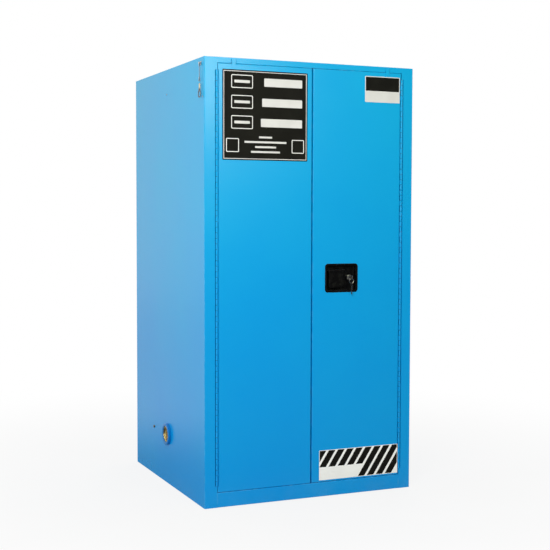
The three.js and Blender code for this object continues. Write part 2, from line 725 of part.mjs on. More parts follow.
// The wire: an eye round the anchor, a straight drop and a second eye, turned, through the link's hole.
function linkWire(side) {
  const x = side * (SIDE + LINK_STANDOFF);
  const upperEye = wireRing(WIRE_EYE_RADIUS, WIRE_RADIUS, "x", [x, LINK_Y, UPPER_EYE_Z], 6, 12);
  const drop = bar(
    WIRE_RADIUS, "z", [x, LINK_Y, 0], LOWER_EYE_Z + WIRE_EYE_RADIUS, UPPER_EYE_Z - WIRE_EYE_RADIUS, 6);
  const lowerEye = wireRing(WIRE_EYE_RADIUS, WIRE_RADIUS, "y", [x, LINK_Y, LOWER_EYE_Z], 6, 12);
  return join([upperEye, drop, lowerEye]);
}

// The link: two brass straps joined by solder that melts in a fire, one a little below the other.
function fusibleLink(side) {
  const shape = roundedRectangle(
    LINK_Y - LINK_WIDTH / 2, LINK_Y + LINK_WIDTH / 2, LINK_BOTTOM, LINK_TOP, LINK_WIDTH / 3);
  shape.holes.push(outlineOf(polygon(LINK_Y, LINK_TOP - LINK_HOLE_INSET, LINK_HOLE_RADIUS, 8)));
  shape.holes.push(outlineOf(polygon(LINK_Y, LINK_BOTTOM + LINK_HOLE_INSET, LINK_HOLE_RADIUS, 8)));
  const middle = side * (SIDE + LINK_STANDOFF);
  return extrudeAcross(shape, middle - LINK_THICKNESS / 2, middle + LINK_THICKNESS / 2);
}

// The pull ring, with the eye that joins it to the link.
function pullRing(side) {
  const x = side * (SIDE + LINK_STANDOFF);
  const eye = wireRing(WIRE_EYE_RADIUS, WIRE_RADIUS, "y", [x, LINK_Y, RING_EYE_Z], 6, 12);
  const ring = wireRing(RING_RADIUS, RING_WIRE, "x", [x, LINK_Y, RING_Z], 6, 16);
  return eye.add(ring);
}

// Piano hinges

const HINGE_LENGTH = HINGE_TOP - HINGE_BOTTOM;
const KNUCKLE_COUNT = Math.round(HINGE_LENGTH / KNUCKLE_PITCH);
const KNUCKLE_STEP = HINGE_LENGTH / KNUCKLE_COUNT;

// A leaf of the hinge: a comb-shaped strip against the stile or the door's edge, with a knuckle rolled from
// each tooth. outward is 1 for the stile's leaf, which has the even knuckles, and -1 for the door's.
function hingeLeaf(side, outward) {
  const stripFront = PIN_Y + KNUCKLE_RADIUS + FIT;
  const stripBack = PIN_Y + LEAF_WIDTH;
  const toothFront = PIN_Y + KNUCKLE_RADIUS / 4;
  const comb = [[stripBack, HINGE_BOTTOM], [stripFront, HINGE_BOTTOM]];
  const knuckles = [];
  for (let number = outward > 0 ? 0 : 1; number < KNUCKLE_COUNT; number += 2) {
    const low = HINGE_BOTTOM + KNUCKLE_STEP * number + KNUCKLE_GAP / 2;
    const high = low + KNUCKLE_STEP - KNUCKLE_GAP;
    const toothLow = low + FIT;
    const toothHigh = high - FIT;
    comb.push([stripFront, toothLow], [toothFront, toothLow], [toothFront, toothHigh], [stripFront, toothHigh]);
    const ring = [[BORE_RADIUS, low], [KNUCKLE_RADIUS, low], [KNUCKLE_RADIUS, high], [BORE_RADIUS, high]];
    knuckles.push(turned(ring, "z", [side * PIN_X, PIN_Y, 0], KNUCKLE_SIDES));
  }
  comb.push([stripFront, HINGE_TOP], [stripBack, HINGE_TOP]);
  const faces = [PIN_X + outward * KNUCKLE_RADIUS, PIN_X + outward * (KNUCKLE_RADIUS - LEAF_THICKNESS)];
  const [left, right] = faces.map((x) => side * x).sort((a, b) => a - b);
  return join([extrudeAcross(outlineOf(comb), left, right), ...knuckles]);
}

function hingePin(side) {
  return bar(PIN_RADIUS, "z", [side * PIN_X, PIN_Y, 0], HINGE_BOTTOM, HINGE_TOP, 10);
}

// Doors

// The outer skin: a shell folded from one sheet, with flanges turned in behind all four sides and a step
// along its hinged edge that leaves room for the knuckles.
function doorSkin(side) {
  const back = FRONT + DOOR_EDGE_DEPTH;
  const grooveX = PIN_X - DOOR_GROOVE;
  const grooveY = FRONT + GROOVE_DEPTH;
  const shell = block([side * DOOR_RETURN, FRONT, DOOR_BOTTOM], [side * FREE_EDGE, back, DOOR_TOP]);
  const hollowOutline = [
    [FREE_EDGE + SHEET, FRONT + SHEET],
    [grooveX - SHEET, FRONT + SHEET],
    [grooveX - SHEET, grooveY + SHEET],
    [DOOR_RETURN - SHEET, grooveY + SHEET],
    [DOOR_RETURN - SHEET, back - SHEET],
    [FREE_EDGE + SHEET, back - SHEET],
  ];
  const hollow = extrudeUp(outlineOf(onSide(hollowOutline, side)), DOOR_BOTTOM + SHEET, DOOR_TOP - SHEET);
  const opening = block(
    [side * (DOOR_RETURN - DOOR_FLANGE), back - SHEET - OVERRUN, DOOR_BOTTOM + DOOR_FLANGE],
    [side * (FREE_EDGE + DOOR_FLANGE), back + OVERRUN, DOOR_TOP - DOOR_FLANGE],
  );
  const groove = block(
    [side * grooveX, FRONT - OVERRUN, HINGE_BOTTOM],
    [side * (DOOR_RETURN + OVERRUN), grooveY, HINGE_TOP],
  );
  return shell.subtract(hollow).subtract(opening).subtract(groove);
}

// The inner pan: a rim against the skin's flanges and a tub that passes inside the cabinet's lip.
function doorPan(side) {
  const rim = block(
    [side * DOOR_RETURN, PAN_RIM_FRONT, PAN_BOTTOM - PAN_LAP],
    [side * (FREE_EDGE + SHEET), PAN_RIM_FRONT + SHEET, PAN_TOP + PAN_LAP],
  );
  const tub = block(
    [side * PAN_SIDE, PAN_RIM_FRONT + SHEET / 2, PAN_BOTTOM],
    [side * PAN_FREE_SIDE, PAN_BACK, PAN_TOP],
  );
  const hollow = block(
    [side * (PAN_SIDE - SHEET), PAN_RIM_FRONT - OVERRUN, PAN_BOTTOM + SHEET],
    [side * (PAN_FREE_SIDE + SHEET), PAN_BACK - SHEET, PAN_TOP - SHEET],
  );
  return rim.add(tub).subtract(hollow);
}

// The small tab in front of the top rail that the pull ring hooks over to hold the door open.
function holdOpenTab(side) {
  const middle = SIDE - HOOK_SIDE_INSET;
  return block(
    [side * (middle - HOOK_WIDTH / 2), FRONT - FIT - LEAF_THICKNESS, DOOR_TOP - HOOK_BELOW],
    [side * (middle + HOOK_WIDTH / 2), FRONT - FIT, DOOR_TOP + HOOK_ABOVE],
  );
}

// Latch

const DISH_LEFT = FREE_EDGE + DISH_FROM_EDGE;
const DISH_RIGHT = DISH_LEFT + DISH_WIDTH;
const DISH_BOTTOM = DISH_LEVEL - DISH_HEIGHT / 2;
const DISH_TOP = DISH_LEVEL + DISH_HEIGHT / 2;
const DISH_FLOOR = FRONT + DISH_DEPTH;
const DISH_REAR = DISH_FLOOR + DISH_WALL;
const LOCK_X = DISH_LEFT + LOCK_FROM_DISH;
const LOCK_Z = DISH_LEVEL;
const PADDLE_LEFT = DISH_LEFT + PADDLE_FROM_DISH;
const PADDLE_RIGHT = PADDLE_LEFT + PADDLE_WIDTH;
const PADDLE_TOP = DISH_TOP - PADDLE_BELOW_TOP;
const PADDLE_BOTTOM = PADDLE_TOP - PADDLE_HEIGHT;
const PADDLE_PIN_Y = FRONT + PADDLE_SETBACK + PADDLE_BARREL_RADIUS;
const PADDLE_PIN_Z = PADDLE_TOP - PADDLE_BARREL_RADIUS;
const CAM_X = DISH_LEFT + CAM_FROM_DISH;
const CAM_Z = PADDLE_PIN_Z - ARM_HEIGHT / 2 - FIT - CAM_EAR_RISE;
const ROD_Y = LIP_BACK + FIT + ROD_RADIUS;
const FOOT_FRONT = ROD_Y - ROD_FOOT_THICKNESS / 2;
const CAM_REAR = FOOT_FRONT - FIT;
const CAM_FRONT = CAM_REAR - CAM_THICKNESS;
const ARM_LENGTH = CAM_REAR - PADDLE_PIN_Y;
const ARM_X = CAM_X + CAM_EAR_OUT;

function dishOutline(inset) {
  return roundedRectangle(
    DISH_LEFT + inset, DISH_RIGHT - inset, DISH_BOTTOM + inset, DISH_TOP - inset, DISH_CORNER - inset / 2);
}

// The skin of the right door, cut for the latch dish.
function rightDoorSkin() {
  const hole = extrudeBack(dishOutline(DISH_RIM - FIT), FRONT - OVERRUN, FRONT + OVERRUN);
  return doorSkin(1).subtract(hole);
}

// The dish: a bezel on the door's face, a well behind it, ears for the paddle's pin and a stud for the cam.
function latchDish() {
  const front = FRONT - FIT - DISH_BEZEL;
  const bezel = extrudeBack(dishOutline(0), front, FRONT - FIT);
  const body = extrudeBack(dishOutline(DISH_RIM), front + DISH_BEZEL / 2, DISH_REAR);
  const recess = extrudeBack(dishOutline(DISH_RIM + DISH_WALL), front - OVERRUN, DISH_FLOOR);
  const ears = [PADDLE_LEFT - FIT - EAR_WIDTH, PADDLE_RIGHT + FIT].map((left) =>
    block(
      [left, FRONT + PADDLE_SETBACK, PADDLE_PIN_Z - PADDLE_BARREL_RADIUS],
      [left + EAR_WIDTH, DISH_FLOOR + DISH_WALL / 2, PADDLE_PIN_Z + PADDLE_BARREL_RADIUS],
    ));
  const stud = bar(CAM_STUD_RADIUS, "y", [CAM_X, 0, CAM_Z], DISH_FLOOR + DISH_WALL / 2, CAM_REAR, 12);
  const pinHole = bar(
    PADDLE_PIN_RADIUS + FIT / 2, "x", [0, PADDLE_PIN_Y, PADDLE_PIN_Z],
    PADDLE_LEFT - FIT - EAR_WIDTH - FIT, PADDLE_RIGHT + FIT + EAR_WIDTH + FIT, 10);
  const lockHole = bar(LOCK_RADIUS + FIT, "y", [LOCK_X, 0, LOCK_Z], DISH_FLOOR - OVERRUN, DISH_REAR + OVERRUN, 16);
  const window = block(
    [ARM_X - ARM_WIDTH, DISH_FLOOR - OVERRUN, PADDLE_PIN_Z - ARM_LENGTH],
    [ARM_X + ARM_WIDTH, DISH_REAR + OVERRUN, PADDLE_PIN_Z + ARM_HEIGHT],
  );
  return [pinHole, lockHole, window].reduce(
    (made, cut) => made.subtract(cut),
    join([bezel.add(body).subtract(recess), ...ears, stud]),
  );
}

function paddlePin() {
  return bar(
    PADDLE_PIN_RADIUS, "x", [0, PADDLE_PIN_Y, PADDLE_PIN_Z],
    PADDLE_LEFT - FIT - EAR_WIDTH, PADDLE_RIGHT + FIT + EAR_WIDTH, 10);
}

// The paddle: a plate with its edges folded back, hung from a barrel whose arm turns the cam.
function latchPaddle() {
  const face = FRONT + PADDLE_SETBACK;
  const shell = block([PADDLE_LEFT, face, PADDLE_BOTTOM], [PADDLE_RIGHT, face + PADDLE_SKIRT, PADDLE_PIN_Z]);
  const hollow = block(
    [PADDLE_LEFT + PADDLE_SHEET, face + PADDLE_SHEET, PADDLE_BOTTOM + PADDLE_SHEET],
    [PADDLE_RIGHT - PADDLE_SHEET, face + PADDLE_SKIRT + OVERRUN, PADDLE_PIN_Z + OVERRUN],
  );
  const barrel = bar(PADDLE_BARREL_RADIUS, "x", [0, PADDLE_PIN_Y, PADDLE_PIN_Z], PADDLE_LEFT, PADDLE_RIGHT, 12);
  const arm = block(
    [ARM_X - ARM_WIDTH / 2, PADDLE_PIN_Y, PADDLE_PIN_Z - ARM_HEIGHT / 2],
    [ARM_X + ARM_WIDTH / 2, PADDLE_PIN_Y + ARM_LENGTH, PADDLE_PIN_Z + ARM_HEIGHT / 2],
  );
  const bore = bar(
    PADDLE_PIN_RADIUS + FIT, "x", [0, PADDLE_PIN_Y, PADDLE_PIN_Z],
    PADDLE_LEFT - OVERRUN, PADDLE_RIGHT + OVERRUN, 10);
  return join([shell.subtract(hollow), barrel, arm]).subtract(bore);
}

// The cam: a plate on the dish's stud, with an ear under the paddle's arm and three crank pins for the rods.
// A notch beside the ear keeps the plate clear of the arm as both turn.
function latchCam() {
  const shape = outlineOf([
    [CAM_X - CRANK_RADIUS - CRANK_PIN_RADIUS * 2, CAM_Z - CRANK_PIN_RADIUS * 2],
    [CAM_X, CAM_Z - CAM_HUB_RADIUS],
    [CAM_X + CRANK_RADIUS + CRANK_PIN_RADIUS * 2, CAM_Z - CRANK_PIN_RADIUS * 2],
    [CAM_X + CAM_EAR_OUT + ARM_WIDTH / 2, CAM_Z + CAM_EAR_RISE - FIT],
    [CAM_X + CAM_EAR_OUT - ARM_WIDTH / 2, CAM_Z + CAM_EAR_RISE - FIT],
    [CAM_X + CRANK_PIN_RADIUS * 2, CAM_Z + CRANK_RADIUS - CAM_NOTCH],
    [CAM_X + CRANK_PIN_RADIUS, CAM_Z + CRANK_RADIUS + CRANK_PIN_RADIUS * 2],
    [CAM_X - CRANK_PIN_RADIUS, CAM_Z + CRANK_RADIUS + CRANK_PIN_RADIUS * 2],
    [CAM_X - CRANK_RADIUS - CRANK_PIN_RADIUS * 2, CAM_Z + CRANK_PIN_RADIUS * 2],
  ]);
  const plate = extrudeBack(shape, CAM_FRONT, CAM_REAR);
  const pins = [[-CRANK_RADIUS, 0], [CRANK_RADIUS, 0], [0, CRANK_RADIUS]].map(([x, z]) =>
    bar(CRANK_PIN_RADIUS, "y", [CAM_X + x, 0, CAM_Z + z],
      CAM_FRONT + CAM_THICKNESS / 2, FOOT_FRONT + ROD_FOOT_THICKNESS, 10));
  const bore = bar(CAM_STUD_RADIUS + FIT, "y", [CAM_X, 0, CAM_Z], CAM_FRONT - OVERRUN, CAM_REAR + OVERRUN, 12);
  return join([plate, ...pins]).subtract(bore);
}

// The slotted foot at a rod's inner end, round the crank pin at (x, z). The slot runs across the rod.
function rodFoot(x, z, upright) {
  const halfAcross = ROD_FOOT_WIDTH / 2;
  const halfAlong = ROD_FOOT_HEIGHT / 2;
  const slotAcross = halfAcross - CRANK_PIN_RADIUS;
  const slotAlong = CRANK_PIN_RADIUS + ROD_SLOT_CLEARANCE;
  const [wide, tall] = upright ? [halfAcross, halfAlong] : [halfAlong, halfAcross];
  const [slotWide, slotTall] = upright ? [slotAcross, slotAlong] : [slotAlong, slotAcross];
  const plate = block([x - wide, FOOT_FRONT, z - tall], [x + wide, FOOT_FRONT + ROD_FOOT_THICKNESS, z + tall]);
  const slot = block(
    [x - slotWide, FOOT_FRONT - OVERRUN, z - slotTall],
    [x + slotWide, FOOT_FRONT + ROD_FOOT_THICKNESS + OVERRUN, z + slotTall],
  );
  return plate.subtract(slot);
}

const UPPER_ROD_X = CAM_X + CRANK_RADIUS;
const LOWER_ROD_X = CAM_X - CRANK_RADIUS;
const BOLT_Z = CAM_Z + CRANK_RADIUS;
const FOOT_GRIP = (ROD_FOOT_HEIGHT / 2 + CRANK_PIN_RADIUS + ROD_SLOT_CLEARANCE) / 2;

function upperRod() {
  const rod = bar(ROD_RADIUS, "z", [UPPER_ROD_X, ROD_Y, 0], CAM_Z + FOOT_GRIP, OPENING_TOP - ROD_STOP_SHORT, 8);
  return rodFoot(UPPER_ROD_X, CAM_Z, true).add(rod.subtract(footSlotRoom(UPPER_ROD_X, CAM_Z)));
}

function lowerRod() {
  const rod = bar(ROD_RADIUS, "z", [LOWER_ROD_X, ROD_Y, 0], OPENING_BOTTOM + ROD_STOP_SHORT, CAM_Z - FOOT_GRIP, 8);
  return rodFoot(LOWER_ROD_X, CAM_Z, true).add(rod.subtract(footSlotRoom(LOWER_ROD_X, CAM_Z)));
}

// Keeps a rod's own bar off the cam in front of its foot.
function footSlotRoom(x, z) {
  const reach = CRANK_RADIUS + CAM_EAR_RISE;
  return block([x - reach, CAM_FRONT - OVERRUN, z - reach], [x + reach, FOOT_FRONT, z + reach]);
}

function centreBolt() {
  const bolt = bar(
    ROD_RADIUS, "x", [0, ROD_Y, BOLT_Z], FREE_EDGE + ROD_STOP_SHORT, CAM_X - FOOT_GRIP, 8);
  return rodFoot(CAM_X, BOLT_Z, false).add(bolt.subtract(footSlotRoom(CAM_X, BOLT_Z)));
}

// A block welded inside the pan for a rod to slide through.
function rodGuide(x, z) {
  return block(
    [x - GUIDE_WIDTH / 2, ROD_Y - ROD_RADIUS - LEAF_THICKNESS, z - GUIDE_HEIGHT / 2],
    [x + GUIDE_WIDTH / 2, PAN_BACK - SHEET / 2, z + GUIDE_HEIGHT / 2],
  );
}

// The pan of the right door, with its rod guides and the holes where the two rods and the bolt leave it.
function rightDoorPan() {
  const radius = ROD_RADIUS + FIT;
  const upperGuideZ = PAN_TOP - GUIDE_FROM_END;
  const lowerGuideZ = PAN_BOTTOM + GUIDE_FROM_END;
  const uncut = join([doorPan(1), rodGuide(UPPER_ROD_X, upperGuideZ), rodGuide(LOWER_ROD_X, lowerGuideZ)]);
  const cuts = [
    bar(radius, "z", [UPPER_ROD_X, ROD_Y, 0], upperGuideZ - GUIDE_HEIGHT, upperGuideZ + GUIDE_HEIGHT, 8),
    bar(radius, "z", [LOWER_ROD_X, ROD_Y, 0], lowerGuideZ - GUIDE_HEIGHT, lowerGuideZ + GUIDE_HEIGHT, 8),
    bar(radius, "z", [UPPER_ROD_X, ROD_Y, 0], PAN_TOP - OVERRUN, PAN_TOP + OVERRUN, 8),
    bar(radius, "z", [LOWER_ROD_X, ROD_Y, 0], PAN_BOTTOM - OVERRUN, PAN_BOTTOM + OVERRUN, 8),
    bar(radius, "x", [0, ROD_Y, BOLT_Z], 0, PAN_FREE_SIDE + OVERRUN, 8),
  ];
  return cuts.reduce((made, cut) => made.subtract(cut), uncut);
}

// The plate on the left door that the centre bolt slides behind.
function doorStrike() {
  const front = PAN_RIM_FRONT + SHEET + FIT;
  return block(
    [-FREE_EDGE - SHEET, front, BOLT_Z - STRIKE_HEIGHT / 2],
    [-FREE_EDGE - SHEET - STRIKE_WIDTH, front + LEAF_THICKNESS, BOLT_Z + STRIKE_HEIGHT / 2],
  );
}

// Lock, keys and ring

const LOCK_FACE = DISH_FLOOR - LOCK_REACH;
const KEY_EYE_Y = FRONT - FIT - DISH_BEZEL - KEY_CLEARANCE - KEY_BOW_RADIUS;
const KEY_SEAT_DROP = KEY_HOLE_RADIUS * Math.cos(Math.PI / 10) - KEY_RING_WIRE - FIT;
const KEY_RING_Z = LOCK_Z - KEY_SEAT_DROP - KEY_RING_RADIUS;
const SPARE_EYE_Z = KEY_RING_Z - KEY_RING_RADIUS - KEY_SEAT_DROP;

function lockCylinder() {
  const barrel = bar(LOCK_RADIUS, "y", [LOCK_X, 0, LOCK_Z], LOCK_FACE, DISH_REAR + LOCK_REACH / 2, 16);
  const keyway = block(
    [LOCK_X - KEY_THICKNESS / 2 - FIT, LOCK_FACE - OVERRUN, LOCK_Z - KEY_BLADE / 2 - FIT],
    [LOCK_X + KEY_THICKNESS / 2 + FIT, LOCK_FACE + LOCK_REACH, LOCK_Z + KEY_BLADE / 2 + FIT],
  );
  return barrel.subtract(keyway);
}

// A key lying in the plane of Y and Z: a round bow with a hole, and a blade to the side asked for.
function flatKey(x, eyeY, eyeZ, bladeOutline) {
  const bow = new THREE.Shape();
  bow.absarc(eyeY, eyeZ, KEY_BOW_RADIUS, 0, Math.PI * 2, false);
  const left = x - KEY_THICKNESS / 2;
  const right = x + KEY_THICKNESS / 2;
  const whole = extrudeAcross(bow, left, right, 8).add(extrudeAcross(outlineOf(bladeOutline), left, right));
  const hole = bar(KEY_HOLE_RADIUS, "x", [0, eyeY, eyeZ], left - OVERRUN, right + OVERRUN, 10);
  return whole.subtract(hole);
}

function lockKey() {
  const start = KEY_EYE_Y + KEY_HOLE_RADIUS * 2;
  const end = LOCK_FACE + LOCK_REACH - FIT;
  return flatKey(LOCK_X, KEY_EYE_Y, LOCK_Z, [
    [start, LOCK_Z - KEY_BLADE / 2],
    [end, LOCK_Z - KEY_BLADE / 2],
    [end, LOCK_Z + KEY_BLADE / 2],
    [start, LOCK_Z + KEY_BLADE / 2],
  ]);
}

function keyRing() {
  return wireRing(KEY_RING_RADIUS, KEY_RING_WIRE, "y", [LOCK_X, KEY_EYE_Y, KEY_RING_Z], 6, 20);
}

// The spare key hangs edge-on from the ring. Its teeth are three cuts in one edge.
function spareKey() {
  const start = SPARE_EYE_Z - KEY_HOLE_RADIUS * 2;
  const end = start - KEY_BOW_RADIUS - KEY_BLADE_LENGTH;
  const step = KEY_BLADE_LENGTH / 7;
  const front = KEY_EYE_Y - KEY_BLADE / 2;
  const back = KEY_EYE_Y + KEY_BLADE / 2;
  const teeth = [1, 2, 3, 4, 5, 6].map((tooth) => [
    back - (tooth % 2 ? KEY_BLADE / 4 : 0),
    end + step * tooth,
  ]);
  return flatKey(LOCK_X, KEY_EYE_Y, SPARE_EYE_Z, [
    [front, start],
    [front, end],
    [back - KEY_BLADE / 4, end],
    ...teeth,
    [back, start],
  ]);
}

place("left_side_panel", sidePanel(-1, LOW_VENT_HEIGHT), "frontBlue");
place("right_side_panel", sidePanel(1, HIGH_VENT_HEIGHT), "frontBlue");
place("back_panel", backPanel(), "frontBlue");
place("top_panel", topPanel(), "frontBlue");
place("base_panel", basePanel(), "frontBlue");
place("top_rail", topRail(), "frontBlue");
place("bottom_rail", bottomRail(), "frontBlue");
place("door_lip", doorLip(), "frontBlue");
place("inner_left_wall", innerWall(-1, LOW_VENT_HEIGHT), "innerBlue");
place("inner_right_wall", innerWall(1, HIGH_VENT_HEIGHT), "innerBlue");
place("inner_back_wall", innerBackWall(), "innerBlue");
place("inner_ceiling", innerCeiling(), "innerBlue");
place("sump_pan", sumpPan(), "innerBlue");
[["left", -1], ["right", 1]].forEach(([word, side]) => {
  const ventHeight = side < 0 ? LOW_VENT_HEIGHT : HIGH_VENT_HEIGHT;
  place(`${word}_front_standard`, shelfStandard(side, STANDARD_FRONT_Y), "steel");
  place(`${word}_rear_standard`, shelfStandard(side, STANDARD_REAR_Y), "steel");
  place(`${word}_vent_sleeve`, ventSleeve(side, ventHeight), "frontBlue");
  place(`${word}_vent_bung`, ventBung(side, ventHeight), "brass");
  place(`${word}_flame_arrester`, flameArrester(side, ventHeight), "steel");
  place(`${word}_link_anchor`, linkAnchor(side), "steel");
  place(`${word}_link_wire`, linkWire(side), "steel");
  place(`${word}_fusible_link`, fusibleLink(side), "brass");
  place(`${word}_pull_ring`, pullRing(side), "steel");
  place(`${word}_hinge_frame_leaf`, hingeLeaf(side, 1), "frontBlue");
  place(`${word}_hinge_door_leaf`, hingeLeaf(side, -1), "frontBlue");
  place(`${word}_hinge_pin`, hingePin(side), "steel");
  place(`${word}_hold_open_tab`, holdOpenTab(side), "frontBlue");
});
place("lower_shelf", shelf(LOWER_SHELF_SLOT), "innerBlue");
place("upper_shelf", shelf(UPPER_SHELF_SLOT), "innerBlue");
place("lower_shelf_tray", shelfTray(LOWER_SHELF_SLOT), "plastic");
place("upper_shelf_tray", shelfTray(UPPER_SHELF_SLOT), "plastic");
place("ground_screw", groundScrew(), "brass");
place("left_door_skin", doorSkin(-1), "frontBlue");
place("left_door_pan", doorPan(-1), "innerBlue");
place("door_strike", doorStrike(), "steel");
place("right_door_skin", rightDoorSkin(), "frontBlue");
place("right_door_pan", rightDoorPan(), "innerBlue");
place("latch_dish", latchDish(), "black");
place("paddle_pin", paddlePin(), "steel");
place("latch_paddle", latchPaddle(), "black");
place("latch_cam", latchCam(), "steel");
place("upper_latch_rod", upperRod(), "steel");
place("lower_latch_rod", lowerRod(), "steel");
place("centre_bolt", centreBolt(), "steel");
place("lock_cylinder", lockCylinder(), "steel");
place("lock_key", lockKey(), "steel");
place("key_ring", keyRing(), "steel");
place("spare_key", spareKey(), "steel");

export default cabinet;
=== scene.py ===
"""The looks of a double-walled chemical storage cabinet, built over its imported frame.

Metres, +Z up. The doors face -Y, and left is -X. Every piece lies in the frame's own place, so its object
sits at the origin and its place is in its mesh.
"""

import logging
import math
from dataclasses import dataclass, field
from enum import Enum
from typing import Any, Sequence

import bmesh
import bpy
import numpy as np
from mathutils import Matrix, Vector
from numpy.typing import NDArray

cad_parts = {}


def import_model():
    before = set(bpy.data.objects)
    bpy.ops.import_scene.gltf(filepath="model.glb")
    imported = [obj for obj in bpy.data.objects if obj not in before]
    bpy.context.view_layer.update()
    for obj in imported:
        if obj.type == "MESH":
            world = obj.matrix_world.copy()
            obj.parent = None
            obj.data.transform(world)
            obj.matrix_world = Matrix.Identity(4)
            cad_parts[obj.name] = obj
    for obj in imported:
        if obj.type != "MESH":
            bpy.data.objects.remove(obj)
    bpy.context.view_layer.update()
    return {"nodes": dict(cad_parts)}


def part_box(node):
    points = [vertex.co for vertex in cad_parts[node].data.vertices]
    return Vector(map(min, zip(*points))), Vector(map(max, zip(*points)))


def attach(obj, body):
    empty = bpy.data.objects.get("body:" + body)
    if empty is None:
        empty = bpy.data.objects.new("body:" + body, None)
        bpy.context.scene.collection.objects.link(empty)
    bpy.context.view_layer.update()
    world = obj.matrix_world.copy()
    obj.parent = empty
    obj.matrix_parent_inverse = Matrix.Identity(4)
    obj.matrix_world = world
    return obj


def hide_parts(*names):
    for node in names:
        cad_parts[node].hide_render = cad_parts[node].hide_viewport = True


Array = NDArray[np.float64]
Colour = tuple[float, float, float]
Place = tuple[float, float, float]
Layer = tuple[float, float]
LOG = logging.getLogger("cabinet")
MM = 0.001
WELD = 0.002 * MM
SHARP_CORNER = math.radians(50)
WHITE = (1.0, 1.0, 1.0)
ALONG_X, ALONG_Y, ALONG_Z = np.eye(3)


class Axis(Enum):
    """The three axes of the frame."""

    X = 0
    Y = 1
    Z = 2


class Side(Enum):
    """The viewer's left and right side of the cabinet, as the sign of X."""

    LEFT = -1
    RIGHT = 1

    @property
    def word(self) -> str:
        """The side's name, as the frame's nodes spell it."""
        return self.name.lower()


# The frame and the scene


def middle_of(node: str) -> Place:
    """The middle of a node's box."""
    low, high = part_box(node)
    return (low.x + high.x) / 2, (low.y + high.y) / 2, (low.z + high.z) / 2


def reach_of(node: str) -> tuple[float, float]:
    """How far from the cabinet's middle plane a node's box starts and ends."""
    near, far = sorted(abs(corner.x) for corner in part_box(node))
    return near, far


def placed(name: str, data: bpy.types.ID) -> bpy.types.Object:
    """Makes an object of a mesh, a lamp or a camera and puts it in the scene.

    Args:
        name: The object's name.
        data: What it is made of.

    Returns:
        The object.
    """
    piece = bpy.data.objects.new(name, data)
    bpy.context.scene.collection.objects.link(piece)
    return piece


# Shapes


def in_space(flat: Array, along: Array, axis: Axis) -> Array:
    """Puts the points of an outline into space.

    In words: the outline's two coordinates go to the two axes that the run doesn't follow, in the order X, Y,
    Z, and the distance along the run goes to the run's own axis.

    Args:
        flat: The outline's points, with two coordinates last.
        along: The distances along the run, which broadcast with the points.
        axis: The axis that the run follows.

    Returns:
        The points, with three coordinates last.
    """
    first, second, run = np.broadcast_arrays(flat[..., 0], flat[..., 1], along)
    order = {
        Axis.X: (run, first, second),
        Axis.Y: (first, run, second),
        Axis.Z: (first, second, run),
    }[axis]
    return np.stack(order, axis=-1)


def rounded_corners(corners: Array, radii: Array | float, steps: int = 4) -> Array:
    """Rounds the corners of a closed outline.

    In words: at each corner the arc touches both edges at the radius times the tangent of half the turn, and
    its points run evenly from the first touching point to the second, on a circle round the arc's centre.

    Args:
        corners: The outline's corners, n by 2, anticlockwise or clockwise.
        radii: One radius, or one for each corner.
        steps: The steps in each arc.

    Returns:
        The rounded outline, n times (steps + 1) points by 2.
    """
    radius = np.broadcast_to(np.asarray(radii, float), (len(corners),))
    coming = corners - np.roll(corners, 1, axis=0)
    going = np.roll(corners, -1, axis=0) - corners
    coming /= np.linalg.norm(coming, axis=1, keepdims=True)
    going /= np.linalg.norm(going, axis=1, keepdims=True)
    cross = coming[:, 0] * going[:, 1] - coming[:, 1] * going[:, 0]
    dot = (coming * going).sum(axis=1)
    turn = np.arctan2(cross, dot)
    reach = radius * np.tan(np.abs(turn) / 2)
    inward = np.stack([-coming[:, 1], coming[:, 0]], axis=1) * np.sign(turn)[:, None]
    centre = corners - coming * reach[:, None] + inward * radius[:, None]
    angle = np.linspace(0, 1, steps + 1)[None, :] * turn[:, None]
    away = -inward[:, None, :]
    turned = np.stack(
        [
            away[..., 0] * np.cos(angle) - away[..., 1] * np.sin(angle),
            away[..., 0] * np.sin(angle) + away[..., 1] * np.cos(angle),
        ],
        axis=-1,
    )
    return (centre[:, None, :] + radius[:, None, None] * turned).reshape(-1, 2)


@dataclass(frozen=True)
class RoundedRectangle:
    """A rectangle with round corners, which can be drawn at any inset."""

    left: float
    right: float
    bottom: float
    top: float
    radius: float

    def loop(self, inset: Array | float, steps: int = 6) -> Array:
        """Draws the outline once for each inset.

        In words: each corner is a quarter circle whose radius is the rectangle's own less the inset, and whose
        centre stays that radius from both of the inset's edges.

        Args:
            inset: How far inside the rectangle each outline lies.
            steps: The steps in each quarter circle.

        Returns:
            The outlines, insets by points by 2.
        """
        inner = np.atleast_1d(np.asarray(inset, float))[:, None, None]
        radius = np.maximum(self.radius - inner, 0.02 * MM)
        start = np.array([math.pi, 1.5 * math.pi, 0.0, 0.5 * math.pi])
        angle = start[:, None] + np.linspace(0, math.pi / 2, steps + 1)[None, :]
        left, right, bottom, top = self.left, self.right, self.bottom, self.top
        corner = np.array([[left, bottom], [right, bottom], [right, top], [left, top]])
        inward = np.array([[1, 1], [-1, 1], [-1, -1], [1, -1]], float)
        centre = corner[None, :, None, :] + inward[None, :, None, :] * (inner + radius)[..., None]
        round_part = np.stack([np.cos(angle), np.sin(angle)], axis=-1)[None]
        return (centre + radius[..., None] * round_part).reshape(len(inner), -1, 2)


def rectangle_mm(*sizes: float) -> RoundedRectangle:
    """A rounded rectangle whose sides and radius are given in millimetres."""
    return RoundedRectangle(*(size * MM for size in sizes))


def quarter_round(radius: float, steps: int = 5) -> Array:
    """A rounded edge, from one radius on the first coordinate to one radius on the second."""
    turn = np.linspace(0.0, 0.5 * math.pi, steps)
    return np.stack([1 - np.sin(turn), 1 - np.cos(turn)], axis=1) * radius


